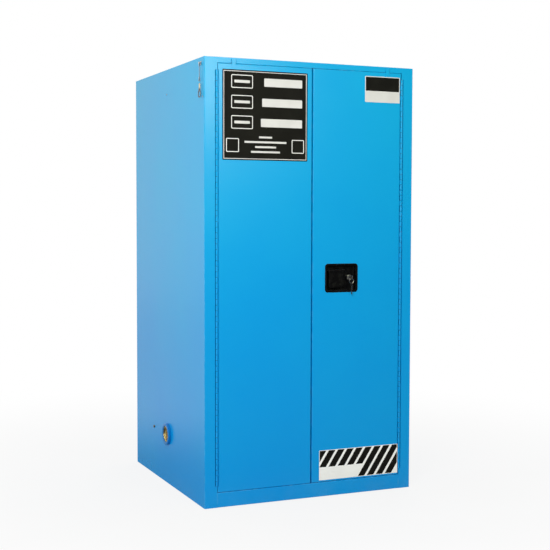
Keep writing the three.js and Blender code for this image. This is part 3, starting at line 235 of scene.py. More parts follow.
def circle_path(middle: Sequence[float], radius: float, across: Array, up: Array, steps: int) -> Array:
    """A full circle round a middle point, in the plane of two directions."""
    turn = np.linspace(0, 2 * math.pi, steps, endpoint=False)[:, None]
    return np.asarray(middle) + radius * (np.cos(turn) * across + np.sin(turn) * up)


@dataclass
class Shell:
    """Grows one closed mesh out of grids of points."""

    points: list[Array] = field(default_factory=list)
    faces: list[list[int]] = field(default_factory=list)
    count: int = 0

    def grid(self, rows: Array, ring: bool = False) -> "Shell":
        """Adds a grid whose columns close on themselves.

        Args:
            rows: The points, rows by columns by 3.
            ring: Joins the last row to the first. Otherwise one flat face closes each end.

        Returns:
            This shell.
        """
        height, width = rows.shape[:2]
        index = np.arange(height * width).reshape(height, width) + self.count
        below = index if ring else index[:-1]
        above = np.roll(index, -1, axis=0) if ring else index[1:]
        quads = np.stack([below, np.roll(below, -1, 1), np.roll(above, -1, 1), above], axis=-1)
        self.faces += quads.reshape(-1, 4).tolist()
        if not ring:
            self.faces += [index[0][::-1].tolist(), index[-1].tolist()]
        self.points.append(rows.reshape(-1, 3))
        self.count += height * width
        return self

    def run(self, outline: Array, low: float, high: float, axis: Axis) -> "Shell":
        """Adds an outline carried straight along an axis, from low to high."""
        along = np.array([low, high])[:, None]
        return self.grid(in_space(outline[None], along, axis))

    def lathe(
        self, profile: Array, axis: Axis, centre: Sequence[float], steps: int = 48, ring: bool = False
    ) -> "Shell":
        """Adds a profile turned about an axis.

        In words: each profile point's radius is laid off at every angle round the centre, at the point's own
        distance along the axis.

        Args:
            profile: Rows of radius and distance along the axis.
            axis: The axis of the turning.
            centre: Any point on the axis.
            steps: The steps in a full turn.
            ring: The profile closes on itself.

        Returns:
            This shell.
        """
        angle = np.linspace(0, 2 * math.pi, steps, endpoint=False)
        middle = np.delete(np.asarray(centre, float), axis.value)
        flat = middle + profile[:, None, :1] * np.stack([np.cos(angle), np.sin(angle)], axis=-1)[None]
        along = profile[:, None, 1] + centre[axis.value]
        return self.grid(in_space(flat, along, axis), ring)

    def tube(
        self, path: Array, radius: float, reference: Array, closed: bool = False, sides: int = 10
    ) -> "Shell":
        """Adds a round wire along a path.

        In words: at each point of the path a circle stands square to the path's direction, and its first
        spoke points as near to the reference direction as that allows.

        Args:
            path: The path's points, n by 3.
            radius: The wire's radius.
            reference: One direction, or one for each point.
            closed: The path closes on itself.
            sides: The sides of the circle.

        Returns:
            This shell.
        """
        if closed:
            heading = np.roll(path, -1, axis=0) - np.roll(path, 1, axis=0)
        else:
            heading = np.gradient(path, axis=0)
        heading /= np.linalg.norm(heading, axis=1, keepdims=True)
        along = (heading * reference).sum(axis=1, keepdims=True)
        spoke = np.broadcast_to(reference, path.shape) - heading * along
        spoke = spoke / np.linalg.norm(spoke, axis=1, keepdims=True)
        other = np.cross(heading, spoke)
        angle = np.linspace(0, 2 * math.pi, sides, endpoint=False)[None, :, None]
        circle = spoke[:, None] * np.cos(angle) + other[:, None] * np.sin(angle)
        return self.grid(path[:, None] + radius * circle, closed)

    def made(self, name: str, smooth_below: float = 32.0) -> bpy.types.Object:
        """Makes the mesh and its object, with doubles merged and all faces outwards.

        Args:
            name: The object's name.
            smooth_below: Edges that turn by less than this many degrees are shaded smooth.

        Returns:
            The object.
        """
        mesh = bpy.data.meshes.new(name)
        mesh.from_pydata(np.concatenate(self.points).tolist(), [], self.faces)
        tidy(mesh, smooth_below)
        return placed(name, mesh)


def tidy(mesh: bpy.types.Mesh, smooth_below: float) -> None:
    """Merges doubles, turns all faces outwards and marks which edges stay sharp.

    Args:
        mesh: The mesh.
        smooth_below: Edges that turn by less than this many degrees are shaded smooth.
    """
    work = bmesh.new()
    work.from_mesh(mesh)
    bmesh.ops.remove_doubles(work, verts=work.verts, dist=WELD)
    bmesh.ops.dissolve_degenerate(work, edges=work.edges, dist=WELD / 2)
    bmesh.ops.recalc_face_normals(work, faces=work.faces)
    work.to_mesh(mesh)
    work.free()
    mesh.polygons.foreach_set("use_smooth", [True] * len(mesh.polygons))
    mesh.set_sharp_from_angle(angle=math.radians(smooth_below))


def even_shading(piece: bpy.types.Object) -> None:
    """Lets large flat faces set the normals at their edges, so that they shade flat beside rounded ones.

    Args:
        piece: The piece.
    """
    modifier = piece.modifiers.new("even_shading", "WEIGHTED_NORMAL")
    modifier.keep_sharp = True
    modifier.weight = 100


def round_bar(radius: float, half: float, axis: Axis, centre: Sequence[float], steps: int) -> bpy.types.Object:
    """A plain round bar to cut a hole with."""
    profile = np.array([[radius, -half], [radius, half]])
    return Shell().lathe(profile, axis, centre, steps).made("round_bar")


def break_edges(piece: bpy.types.Object, width: float) -> None:
    """Breaks a piece's sharp edges by a small round.

    Args:
        piece: The piece.
        width: How wide the round is.
    """
    modifier = piece.modifiers.new("broken_edges", "BEVEL")
    modifier.width = width
    modifier.segments = 2
    modifier.limit_method = "ANGLE"
    modifier.angle_limit = SHARP_CORNER


def cut(piece: bpy.types.Object, cutter: bpy.types.Object, smooth_below: float = 32.0) -> None:
    """Takes the cutter's shape out of the piece and removes the cutter.

    Args:
        piece: The piece.
        cutter: The shape to take out.
        smooth_below: Edges that turn by less than this many degrees are shaded smooth.
    """
    modifier = piece.modifiers.new("cut", "BOOLEAN")
    modifier.object = cutter
    modifier.operation = "DIFFERENCE"
    modifier.solver = "EXACT"
    graph = bpy.context.evaluated_depsgraph_get()
    mesh = bpy.data.meshes.new_from_object(piece.evaluated_get(graph))
    piece.modifiers.clear()
    piece.data = mesh
    bpy.data.objects.remove(cutter)
    tidy(mesh, smooth_below)


# Shader node helpers


class Graph:
    """Short calls for adding and joining the nodes of one shader tree."""

    def __init__(self, tree: bpy.types.NodeTree) -> None:
        """Keeps the tree that the nodes go into."""
        self.tree = tree

    def node(self, kind: str, **values: Any) -> bpy.types.Node:
        """Adds a node.

        Args:
            kind: The node's type, without its common beginning.
            values: Settings of the node, or values or sources of its inputs, with _ for a space.

        Returns:
            The node.
        """
        made = self.tree.nodes.new("ShaderNode" + kind)
        sockets = {socket.name.lower().replace(" ", "_"): socket for socket in reversed(made.inputs)}
        settings = [key for key in values if key not in sockets]
        for key in settings:
            setattr(made, key, values[key])
        for key in values:
            if key not in settings:
                self.feed(sockets[key], values[key])
        return made

    def feed(self, socket: bpy.types.NodeSocket, value: Any) -> None:
        """Gives a socket a value, or joins a source to it.

        Args:
            socket: The socket.
            value: A number, a colour or a source.
        """
        if isinstance(value, bpy.types.NodeSocket):
            self.tree.links.new(value, socket)
        elif isinstance(value, tuple) and len(value) == 3 and socket.type == "RGBA":
            socket.default_value = (*value, 1.0)
        else:
            socket.default_value = value

    def math(self, operation: str, *values: Any, clamp: bool = False) -> bpy.types.NodeSocket:
        """Adds a Math node and returns its result.

        Args:
            operation: What it works out.
            values: Numbers or sources, in the order of its inputs.
            clamp: Keeps the result between 0 and 1.

        Returns:
            The node's result.
        """
        made = self.node("Math", operation=operation, use_clamp=clamp)
        for socket, value in zip(made.inputs, values):
            self.feed(socket, value)
        return made.outputs[0]

    def vector(self, operation: str, *values: Any) -> bpy.types.Node:
        """Adds a Vector Math node and returns it.

        Args:
            operation: What it works out.
            values: Vectors or sources, in the order of its inputs.

        Returns:
            The node.
        """
        made = self.node("VectorMath", operation=operation)
        for socket, value in zip(made.inputs, values):
            self.feed(socket, value)
        return made

    def ramp(
        self, value: Any, low: float, high: float, to_low: float = 0.0, to_high: float = 1.0
    ) -> bpy.types.NodeSocket:
        """Maps a value from one range to another, softly at both ends and held beyond them.

        Args:
            value: The number or source to map.
            low: Where the first range starts.
            high: Where the first range ends.
            to_low: Where the second range starts.
            to_high: Where the second range ends.

        Returns:
            The mapped value.
        """
        made = self.node("MapRange", interpolation_type="SMOOTHSTEP")
        for socket, given in zip(made.inputs, (value, low, high, to_low, to_high)):
            self.feed(socket, given)
        return made.outputs[0]

    def noise(self, place: bpy.types.NodeSocket, scale: float, detail: float = 2.0) -> bpy.types.NodeSocket:
        """Adds a Noise Texture and returns its factor, around a half."""
        return self.node("TexNoise", vector=place, scale=scale, detail=detail).outputs["Fac"]

    def blend(self, amount: Any, first: Any, second: Any) -> bpy.types.NodeSocket:
        """Mixes two colours.

        Args:
            amount: How much of the second colour there is.
            first: A colour or a source.
            second: A colour or a source.

        Returns:
            The mixed colour.
        """
        made = self.node("Mix", data_type="RGBA", blend_type="MIX")
        self.feed(made.inputs[0], amount)
        self.feed(made.inputs[6], first)
        self.feed(made.inputs[7], second)
        return made.outputs[2]

    def object_place(self) -> bpy.types.NodeSocket:
        """The surface's place in the object's own coordinates."""
        return self.node("TexCoord").outputs["Object"]

    def coordinate(self, axis: Axis) -> bpy.types.NodeSocket:
        """One coordinate of the surface's place."""
        return self.node("SeparateXYZ", vector=self.object_place()).outputs[axis.value]

    def close(self, shader: bpy.types.NodeSocket, kind: str = "OutputMaterial") -> None:
        """Joins the last shader to the tree's output."""
        self.feed(self.node(kind).inputs[0], shader)


def opened(owner: bpy.types.Material | bpy.types.World) -> Graph:
    """Empties a material's or a world's shader tree and opens it.

    Args:
        owner: The material or the world.

    Returns:
        The tree's graph.
    """
    owner.use_nodes = True
    owner.node_tree.nodes.clear()
    return Graph(owner.node_tree)


@dataclass
class SharedEffects:
    """Node groups for the effects that several finishes use. Each is built once."""

    wave_scale: float = 2.6
    peel_scale: float = 520.0
    tone_scale: float = 1.7
    wear_scale: float = 38.0
    dust_scale: float = 9.0
    cloud_scale: float = 45.0
    tarnish_scale: float = 120.0
    built: dict[str, bpy.types.NodeTree] = field(default_factory=dict)

    def start(self, name: str, vectors: str, numbers: str, outputs: str) -> tuple[Graph, Any, Any]:
        """Opens a new group with its named sockets. Each list of names is one text, with spaces between.

        Args:
            name: The group's name.
            vectors: The names of the inputs that are vectors.
            numbers: The names of the inputs that are numbers.
            outputs: The names of the outputs, which are numbers.

        Returns:
            The group's graph, its input node and its output node.
        """
        tree = bpy.data.node_groups.new(name, "ShaderNodeTree")
        for labels, way, kind in (
            (vectors, "INPUT", "NodeSocketVector"),
            (numbers, "INPUT", "NodeSocketFloat"),
            (outputs, "OUTPUT", "NodeSocketFloat"),
        ):
            for label in labels.split():
                tree.interface.new_socket(name=label, in_out=way, socket_type=kind)
        self.built[name] = tree
        return Graph(tree), tree.nodes.new("NodeGroupInput"), tree.nodes.new("NodeGroupOutput")

    def use(self, graph: Graph, name: str, **values: Any) -> bpy.types.Node:
        """Places a group in a material's graph, and builds the group first if need be.

        Args:
            graph: The material's graph.
            name: The group's name, which is also its method's.
            values: Values or sources for the group's inputs.

        Returns:
            The group's node.
        """
        if name not in self.built:
            getattr(self, name)()
        made = graph.tree.nodes.new("ShaderNodeGroup")
        made.node_tree = self.built[name]
        for key, value in values.items():
            graph.feed(made.inputs[key], value)
        return made

    def sheet_surface(self) -> None:
        """Painted sheet steel: long waves of the sheet, the paint's orange peel and a slow change of tone."""
        graph, entry, exit_node = self.start("sheet_surface", "", "Wave Peel", "Height Tone")
        place = graph.object_place()
        wave = graph.math("SUBTRACT", graph.noise(place, self.wave_scale, 1.0), 0.5)
        peel = graph.math("SUBTRACT", graph.noise(place, self.peel_scale, 1.0), 0.5)
        height = graph.math(
            "ADD",
            graph.math("MULTIPLY", wave, entry.outputs["Wave"]),
            graph.math("MULTIPLY", peel, entry.outputs["Peel"]),
        )
        graph.feed(exit_node.inputs["Height"], height)
        graph.feed(exit_node.inputs["Tone"], graph.noise(place, self.tone_scale, 4.0))

    def edge_wear(self) -> None:
        """Finds the strip along the edges of a box-shaped piece, broken up by noise.

        In words: the distances to the nearest face across X, Y and Z are put in order, and the middle one is
        the distance from the nearest edge.
        """
        graph, entry, exit_node = self.start("edge_wear", "Low High", "Width", "Mask")
        place = graph.object_place()
        near = graph.vector(
            "MINIMUM",
            graph.vector("SUBTRACT", place, entry.outputs["Low"]).outputs[0],
            graph.vector("SUBTRACT", entry.outputs["High"], place).outputs[0],
        )
        split = graph.node("SeparateXYZ", vector=near.outputs[0])
        x, y, z = (graph.math("ABSOLUTE", split.outputs[i]) for i in range(3))
        least = graph.math("MINIMUM", x, y)
        most = graph.math("MAXIMUM", x, y)
        middle = graph.math("MAXIMUM", least, graph.math("MINIMUM", most, z))
        share = graph.math("DIVIDE", middle, entry.outputs["Width"])
        strip = graph.ramp(share, 0.0, 1.0, 1.0, 0.0)
        patches = graph.ramp(graph.noise(place, self.wear_scale, 5.0), 0.42, 0.62)
        graph.feed(exit_node.inputs["Mask"], graph.math("MULTIPLY", strip, patches))

    def settled_dust(self) -> None:
        """Dust that lies on upward faces and is splashed up from the floor."""
        graph, entry, exit_node = self.start("settled_dust", "", "Reach Amount", "Mask")
        place = graph.object_place()
        height = graph.coordinate(Axis.Z)
        low = graph.ramp(graph.math("DIVIDE", height, entry.outputs["Reach"]), 0.0, 1.0, 1.0, 0.0)
        facing = graph.node("SeparateXYZ", vector=graph.node("NewGeometry").outputs["Normal"]).outputs[2]
        up = graph.ramp(facing, 0.6, 1.0)
        where = graph.math("MAXIMUM", graph.math("MULTIPLY", low, 0.8), up)
        patches = graph.ramp(graph.noise(place, self.dust_scale, 6.0), 0.3, 0.75)
        amount = graph.math("MULTIPLY", graph.math("MULTIPLY", where, patches), entry.outputs["Amount"])
        graph.feed(exit_node.inputs["Mask"], amount)

    def drawn_lines(self) -> None:
        """Fine lines of rolled or drawn metal, long in one direction, with a cloudy tone between them."""
        graph, entry, exit_node = self.start("drawn_lines", "Stretch", "Depth", "Height Tone")
        place = graph.object_place()
        long_way = graph.vector("MULTIPLY", place, entry.outputs["Stretch"]).outputs[0]
        lines = graph.noise(long_way, 1.0, 3.0)
        graph.feed(exit_node.inputs["Height"], graph.math("MULTIPLY", lines, entry.outputs["Depth"]))
        cloud = graph.noise(place, self.cloud_scale, 3.0)
        tone = graph.math("MULTIPLY_ADD", lines, 0.5, graph.math("MULTIPLY", cloud, 0.5))
        graph.feed(exit_node.inputs["Tone"], tone)

    def turned_rings(self) -> None:
        """The rings that a lathe leaves round a centre.

        In words: the distance from the axis, counted in pitches, goes through a sine, and the height is the
        sine times the depth.
        """
        graph, entry, exit_node = self.start("turned_rings", "Centre Plane", "Pitch Depth", "Height Tone")
        place = graph.object_place()
        away = graph.vector("SUBTRACT", place, entry.outputs["Centre"]).outputs[0]
        flat = graph.vector("MULTIPLY", away, entry.outputs["Plane"]).outputs[0]
        radius = graph.vector("LENGTH", flat).outputs["Value"]
        turns = graph.math("MULTIPLY", graph.math("DIVIDE", radius, entry.outputs["Pitch"]), 2 * math.pi)
        wave = graph.math("SINE", turns)
        graph.feed(exit_node.inputs["Height"], graph.math("MULTIPLY", wave, entry.outputs["Depth"]))
        graph.feed(exit_node.inputs["Tone"], graph.noise(place, self.tarnish_scale, 3.0))


# Finishes


@dataclass
class Workpiece:
    """One piece's material and box, while a finish is laid on it."""

    graph: Graph
    effects: SharedEffects
    low: Vector
    high: Vector

    def effect(self, name: str, **values: Any) -> bpy.types.Node:
        """Places one of the shared effects in the material."""
        return self.effects.use(self.graph, name, **values)


@dataclass(frozen=True)
class Finish:
    """A finish that can be laid on any piece."""

    name: str

    def surface(self, work: Workpiece) -> dict[str, Any]:
        """Works out the shader's inputs, and the height for its bumps."""
        raise NotImplementedError

    def material(self, piece: str, effects: SharedEffects, low: Vector, high: Vector) -> bpy.types.Material:
        """Makes the finish's material for one piece.

        Args:
            piece: The piece's name.
            effects: The shared node groups.
            low: The piece's lowest corner.
            high: The piece's highest corner.

        Returns:
            The material.
        """
        made = bpy.data.materials.new(f"{self.name}_{piece}")
        graph = opened(made)
        values = self.surface(Workpiece(graph, effects, low, high))
        height = values.pop("height")
        bump = graph.node("Bump", height=height, distance=1.0, strength=1.0)
        graph.close(graph.node("BsdfPrincipled", normal=bump.outputs[0], **values).outputs[0])
        return made


@dataclass(frozen=True)
class PowderCoat(Finish):
    """Baked powder paint on sheet steel, with a little dust, painted shade low down, and edges lighter by wear
    and painted highlight.
    """

    colour: Colour = (0.0022, 0.395, 0.745)
    # The colour at the foot: painted shade that darkens the paint towards the bottom.
    foot_shade: Colour = (0.0012, 0.297, 0.76)
    # The edges' colour: a lighter blue, partly worn paint and partly a painted highlight.
    worn_and_sheen: Colour = (0.10, 0.48, 0.84)
    roughness: float = 0.25
    specular: float = 0.3
    wave: float = 0.0016
    peel: float = 0.000022
    wear_width: float = 0.0035
    # How far the edges turn lighter, partly by wear and partly by a painted highlight.
    wear: float = 0.3
    # The height at which the painted shade from the foot has faded into the paint's own colour.
    height: float = 1.65
    mottle: float = 0.9
    tone_rough: float = 0.1
    dust: float = 0.05
    dust_rough: float = 0.5
    dust_reach: float = 0.09
    dust_colour: Colour = (0.42, 0.47, 0.5)

    def surface(self, work: Workpiece) -> dict[str, Any]:
        """Mottled paint, darker towards the foot by painted shade, with dust over the sheet's waves, and edges
        lighter partly by wear and partly by a painted highlight.

        Args:
            work: The piece's material and box.

        Returns:
            The shader's inputs by name, and the height for its bumps.
        """
        graph = work.graph
        sheet = work.effect("sheet_surface", Wave=self.wave, Peel=self.peel)
        edges = work.effect("edge_wear", Low=work.low, High=work.high, Width=self.wear_width)
        dust = work.effect("settled_dust", Reach=self.dust_reach, Amount=self.dust)
        height = graph.coordinate(Axis.Z)
        mottle = graph.math("MULTIPLY", graph.math("SUBTRACT", sheet.outputs["Tone"], 0.5), self.mottle)
        # Painted shade: the colour darkens towards the foot, over a random mottle.
        tone = graph.math("ADD", graph.math("DIVIDE", height, self.height), mottle, clamp=True)
        paint = graph.blend(tone, self.foot_shade, self.colour)
        # The edges turn lighter: partly wear, partly a painted highlight.
        worn_and_sheen = graph.blend(graph.math("MULTIPLY", edges.outputs["Mask"], self.wear), paint, self.worn_and_sheen)
        colour = graph.blend(dust.outputs["Mask"], worn_and_sheen, self.dust_colour)
        smoothest = self.roughness - self.tone_rough / 2
        rough = graph.math("MULTIPLY_ADD", sheet.outputs["Tone"], self.tone_rough, smoothest)
        rough = graph.math("MULTIPLY_ADD", dust.outputs["Mask"], self.dust_rough, rough, clamp=True)
        return {
            "base_color": colour,
            "roughness": rough,
            "specular_ior_level": self.specular,
            "height": sheet.outputs["Height"],
        }


@dataclass(frozen=True)
class HingePaint(PowderCoat):
    """The cabinet's paint on a hinge, with painted shade beside the knuckles, where the leaf lies back."""

    axis: float = 0.0
    # The painted shade behind the knuckles: its colour, where it starts and ends behind the pin's axis, and its
    # strongest share.
    dirt: Colour = (0.001, 0.07, 0.24)
    dirt_start: float = -0.5 * MM
    dirt_full: float = 2.6 * MM
    dirt_most: float = 0.72

    def surface(self, work: Workpiece) -> dict[str, Any]:
        """The same paint, darker the farther a place lies behind the pin's axis: painted shade.

        Args:
            work: The piece's material and box.

        Returns:
            The shader's inputs by name, and the height for its bumps.
        """
        values, graph = super().surface(work), work.graph
        depth = graph.coordinate(Axis.Y)
        # Painted shade: the paint darkens the farther behind the pin's axis.
        groove_shade_mask = graph.ramp(depth, self.axis + self.dirt_start, self.axis + self.dirt_full, 0.0, self.dirt_most)
        values["base_color"] = graph.blend(groove_shade_mask, values["base_color"], self.dirt)
        return values


@dataclass(frozen=True)
class ZincPlate(Finish):
    """Zinc-plated steel, with drawn lines along one direction."""

    colour: Colour = (0.56, 0.57, 0.58)
    dull: Colour = (0.38, 0.385, 0.38)
    stretch: Place = (900.0, 900.0, 30.0)
    roughness: float = 0.3
    dull_rough: float = 0.08
    bright_rough: float = -0.04
    line_depth: float = 0.00001

    def surface(self, work: Workpiece) -> dict[str, Any]:
        """Bright metal, duller in clouds and along its lines.

        Args:
            work: The piece's material and box.

        Returns:
            The shader's inputs by name, and the height for its bumps.
        """
        graph = work.graph
        lines = work.effect("drawn_lines", Stretch=self.stretch, Depth=self.line_depth)
        tone = graph.ramp(lines.outputs["Tone"], 0.35, 0.65)
        return {
            "base_color": graph.blend(tone, self.dull, self.colour),
            "metallic": 1.0,
            "roughness": graph.math(
                "MULTIPLY_ADD", tone, self.bright_rough - self.dull_rough, self.roughness + self.dull_rough
            ),
            "height": lines.outputs["Height"],
        }


@dataclass(frozen=True)
class TurnedBrass(Finish):
    """Brass off the lathe, tarnished in patches."""

    colour: Colour = (0.70, 0.53, 0.18)
    tarnish: Colour = (0.16, 0.11, 0.045)
    centre: Place = (0.0, 0.0, 0.0)
    plane: Place = (0.0, 1.0, 1.0)
    pitch: float = 0.0012
    depth: float = 0.00002
    roughness: float = 0.26
    dull_rough: float = 0.14
    bright_rough: float = -0.02

    def surface(self, work: Workpiece) -> dict[str, Any]:
        """Yellow metal with the tool's rings and brown patches.

        Args:
            work: The piece's material and box.

        Returns:
            The shader's inputs by name, and the height for its bumps.
        """
        graph = work.graph
        rings = work.effect(
            "turned_rings", Centre=self.centre, Plane=self.plane, Pitch=self.pitch, Depth=self.depth
        )
        tone = graph.ramp(rings.outputs["Tone"], 0.32, 0.6)
        return {
            "base_color": graph.blend(tone, self.tarnish, self.colour),
            "metallic": 1.0,
            "roughness": graph.math(
                "MULTIPLY_ADD", tone, self.bright_rough - self.dull_rough, self.roughness + self.dull_rough
            ),
            "height": rings.outputs["Height"],
        }


@dataclass(frozen=True)
class BlackEnamel(Finish):
    """Glossy black enamel over a pressed steel latch, greyer at its edges by rubbing and by a painted
    highlight.
    """

    colour: Colour = (0.003, 0.003, 0.0035)
    # The edges' grey: partly rubbed enamel, partly a painted highlight.
    rubbed_and_sheen: Colour = (0.03, 0.03, 0.034)
    roughness: float = 0.24
    specular: float = 0.2
    wear_width: float = 0.002
    wave: float = 0.0004
    peel: float = 0.00002
    haze_scale: float = 55.0
    haze_rough: float = 0.16

    def surface(self, work: Workpiece) -> dict[str, Any]:
        """Black paint with edges greyer by rubbing and by a painted highlight, fine peel and the faint haze of
        fingers.

        Args:
            work: The piece's material and box.

        Returns:
            The shader's inputs by name, and the height for its bumps.
        """
        graph = work.graph
        sheet = work.effect("sheet_surface", Wave=self.wave, Peel=self.peel)
        edges = work.effect("edge_wear", Low=work.low, High=work.high, Width=self.wear_width)
        haze = graph.ramp(graph.noise(graph.object_place(), self.haze_scale, 4.0), 0.45, 0.7)
        return {
            # The edges turn grey: partly rubbing, partly a painted highlight.
            "base_color": graph.blend(edges.outputs["Mask"], self.colour, self.rubbed_and_sheen),
            "roughness": graph.math("MULTIPLY_ADD", haze, self.haze_rough, self.roughness),
            "specular_ior_level": self.specular,
            "height": sheet.outputs["Height"],
        }


@dataclass(frozen=True)
class MouldedTray(Finish):
    """Natural polyethylene, cloudy, scuffed where bottles stand."""

    colour: Colour = (0.80, 0.81, 0.79)
    scuffed: Colour = (0.73, 0.74, 0.71)
    roughness: float = 0.45
    scuff_rough: float = 0.15
    scuff_scale: float = 24.0
    grain_scale: float = 700.0
    grain_height: float = 0.00003

    def surface(self, work: Workpiece) -> dict[str, Any]:
        """Milky plastic with scuffs that dull it and a leathery moulded grain.

        Args:
            work: The piece's material and box.

        Returns:
            The shader's inputs by name, and the height for its bumps.
        """
        graph = work.graph
        place = graph.object_place()
        scuffs = graph.ramp(graph.noise(place, self.scuff_scale, 6.0), 0.5, 0.7)
        grain = graph.noise(place, self.grain_scale, 1.0)
        return {
            "base_color": graph.blend(scuffs, self.colour, self.scuffed),
            "roughness": graph.math("MULTIPLY_ADD", scuffs, self.scuff_rough, self.roughness),
            "height": graph.math("MULTIPLY", grain, self.grain_height),
        }


@dataclass(frozen=True)
class SignFilm(Finish):
    """Printed film, a little uneven in its ink and in its gloss."""

    colour: Colour = (0.007, 0.007, 0.006)
    faded: Colour = (0.011, 0.011, 0.009)
    roughness: float = 0.42
    specular: float = 0.07
    patch_scale: float = 14.0
    patch_rough: float = 0.12
    crease_scale: float = 22.0
    crease_height: float = 0.00008

    def surface(self, work: Workpiece) -> dict[str, Any]:
        """One ink, faded in soft patches, over a film that isn't quite flat.

        Args:
            work: The piece's material and box.

        Returns:
            The shader's inputs by name, and the height for its bumps.
        """
        graph = work.graph
        place = graph.object_place()
        patches = graph.ramp(graph.noise(place, self.patch_scale, 5.0), 0.35, 0.7)
        creases = graph.noise(place, self.crease_scale, 2.0)
        return {
            "base_color": graph.blend(patches, self.colour, self.faded),
            "roughness": graph.math("MULTIPLY_ADD", patches, self.patch_rough, self.roughness),
            "specular_ior_level": self.specular,
            "height": graph.math("MULTIPLY", creases, self.crease_height),
        }


@dataclass(frozen=True)
class Finishes:
    """Every finish that the cabinet wears."""

    outer: PowderCoat = PowderCoat("outer_paint")
    inner: PowderCoat = PowderCoat(
        "inner_paint", colour=(0.01, 0.32, 0.72), foot_shade=(0.006, 0.28, 0.66), roughness=0.42, wave=0.001
    )
    zinc: ZincPlate = ZincPlate("zinc_steel")
    zinc_across: ZincPlate = ZincPlate("zinc_steel_across", stretch=(30.0, 900.0, 900.0))
    dull_steel: ZincPlate = ZincPlate(
        "dull_steel", colour=(0.33, 0.33, 0.34), dull=(0.16, 0.16, 0.165), roughness=0.36
    )
    # Near-black oiled steel for the hinge pins; its darkness also paints the shade in the gaps between the
    # knuckles.
    oiled_steel: ZincPlate = ZincPlate(
        "oiled_steel", colour=(0.05, 0.05, 0.055), dull=(0.02, 0.02, 0.022), roughness=0.5
    )
    # The collar wears the cabinet's blue darkened: painted shade on the collar.
    collar: PowderCoat = PowderCoat("collar_paint", colour=(0.002, 0.24, 0.60), foot_shade=(0.0012, 0.18, 0.52))
    black: BlackEnamel = BlackEnamel("black_enamel")
    tray: MouldedTray = MouldedTray("tray_plastic")
    black_film: SignFilm = SignFilm("black_film")
    white_film: SignFilm = SignFilm("white_film", colour=(0.93, 0.93, 0.92), faded=(0.87, 0.87, 0.86))
    plate_white: SignFilm = SignFilm("plate_white", colour=(0.70, 0.70, 0.69), faded=(0.65, 0.65, 0.64))


# The bench


@dataclass
class Bench:
    """Lays finishes on pieces and fixes them to the frame's bodies."""

    nodes: dict[str, bpy.types.Object]
    effects: SharedEffects = field(default_factory=SharedEffects)
    finishes: Finishes = field(default_factory=Finishes)
    flat_below: float = math.radians(0.4)
    smooth_below: float = 35.0

    def fit(
        self,
        piece: bpy.types.Object,
        body: str,
        slot: str,
        finish: Finish,
        stands_for: Sequence[str] = (),
        shade_evenly: bool = True,
    ) -> bpy.types.Object:
        """Finishes a new piece and lets it ride on a body.

        Args:
            piece: The piece, in its place.
            body: The body that it moves with.
            slot: The record's material slot, which is not used.
            finish: The finish to lay on it.
            stands_for: The frame's nodes that it replaces.
            shade_evenly: Keeps large flat faces flat beside rounded edges.

        Returns:
            The piece.
        """
        corners = np.empty(len(piece.data.vertices) * 3, np.float32)
        piece.data.vertices.foreach_get("co", corners)
        corners = corners.reshape(-1, 3)
        low, high = Vector(corners.min(axis=0).tolist()), Vector(corners.max(axis=0).tolist())
        piece.data.materials.clear()
        piece.data.materials.append(finish.material(piece.name, self.effects, low, high))
        if shade_evenly:
            even_shading(piece)
        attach(piece, body)
        if stands_for:
            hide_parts(*stands_for)
        LOG.info("%s rides on %s, %d faces", piece.name, body, len(piece.data.polygons))
        return piece

    def dress(self, node: str, finish: Finish) -> None:
        """Gives one of the frame's own nodes a finish.

        Args:
            node: The frame's node.
            finish: The finish to lay on it.
        """
        low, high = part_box(node)
        mesh = self.nodes[node].data
        mesh.materials.clear()
        mesh.materials.append(finish.material(node, self.effects, low, high))
        LOG.info("%s dressed in %s", node, finish.name)

    def folded(
        self,
        node: str,
        body: str,
        slot: str,
        finish: Finish,
        fold: float,
        edge: float = 0.0,
        cutters: Sequence[bpy.types.Object] = (),
    ) -> None:
        """Stands in for a node of square-folded sheet with a copy whose folds are round.

        In words: a fold is an outer edge between two faces that are both wider than three folds. Cut edges of
        the sheet, which have a narrow face on one side, are broken by the smaller size.

        Args:
            node: The frame's node.
            body: The body that it belongs to.
            slot: The record's material slot.
            finish: The finish to lay on it.
            fold: The radius of the folds.
            edge: The size of the break on the cut edges, or none.
            cutters: Shapes to take out of the copy.
        """
        work = bmesh.new()
        work.from_mesh(self.nodes[node].data)
        bmesh.ops.remove_doubles(work, verts=work.verts, dist=WELD)
        bmesh.ops.dissolve_limit(
            work, angle_limit=self.flat_below, verts=work.verts, edges=work.edges, use_dissolve_boundaries=False
        )
        width = {face.index: face.calc_area() / max(e.calc_length() for e in face.edges) for face in work.faces}
        folds = [
            e
            for e in work.edges
            if len(e.link_faces) == 2
            and e.is_convex
            and e.calc_face_angle() > SHARP_CORNER
            and min(width[f.index] for f in e.link_faces) > 3 * fold
        ]
        if folds:
            bmesh.ops.bevel(
                work, geom=folds, offset=fold, offset_type="OFFSET", segments=4, profile=0.5,
                affect="EDGES", clamp_overlap=True,
            )
        mesh = bpy.data.meshes.new(f"{node}_folded")
        work.to_mesh(mesh)
        work.free()
        piece = placed(f"{node}_folded", mesh)
        tidy(mesh, self.smooth_below)
        for cutter in cutters:
            cut(piece, cutter, self.smooth_below)
        if edge > 0:
            break_edges(piece, edge)
        self.fit(piece, body, slot, finish, [node])


# Sub-assemblies


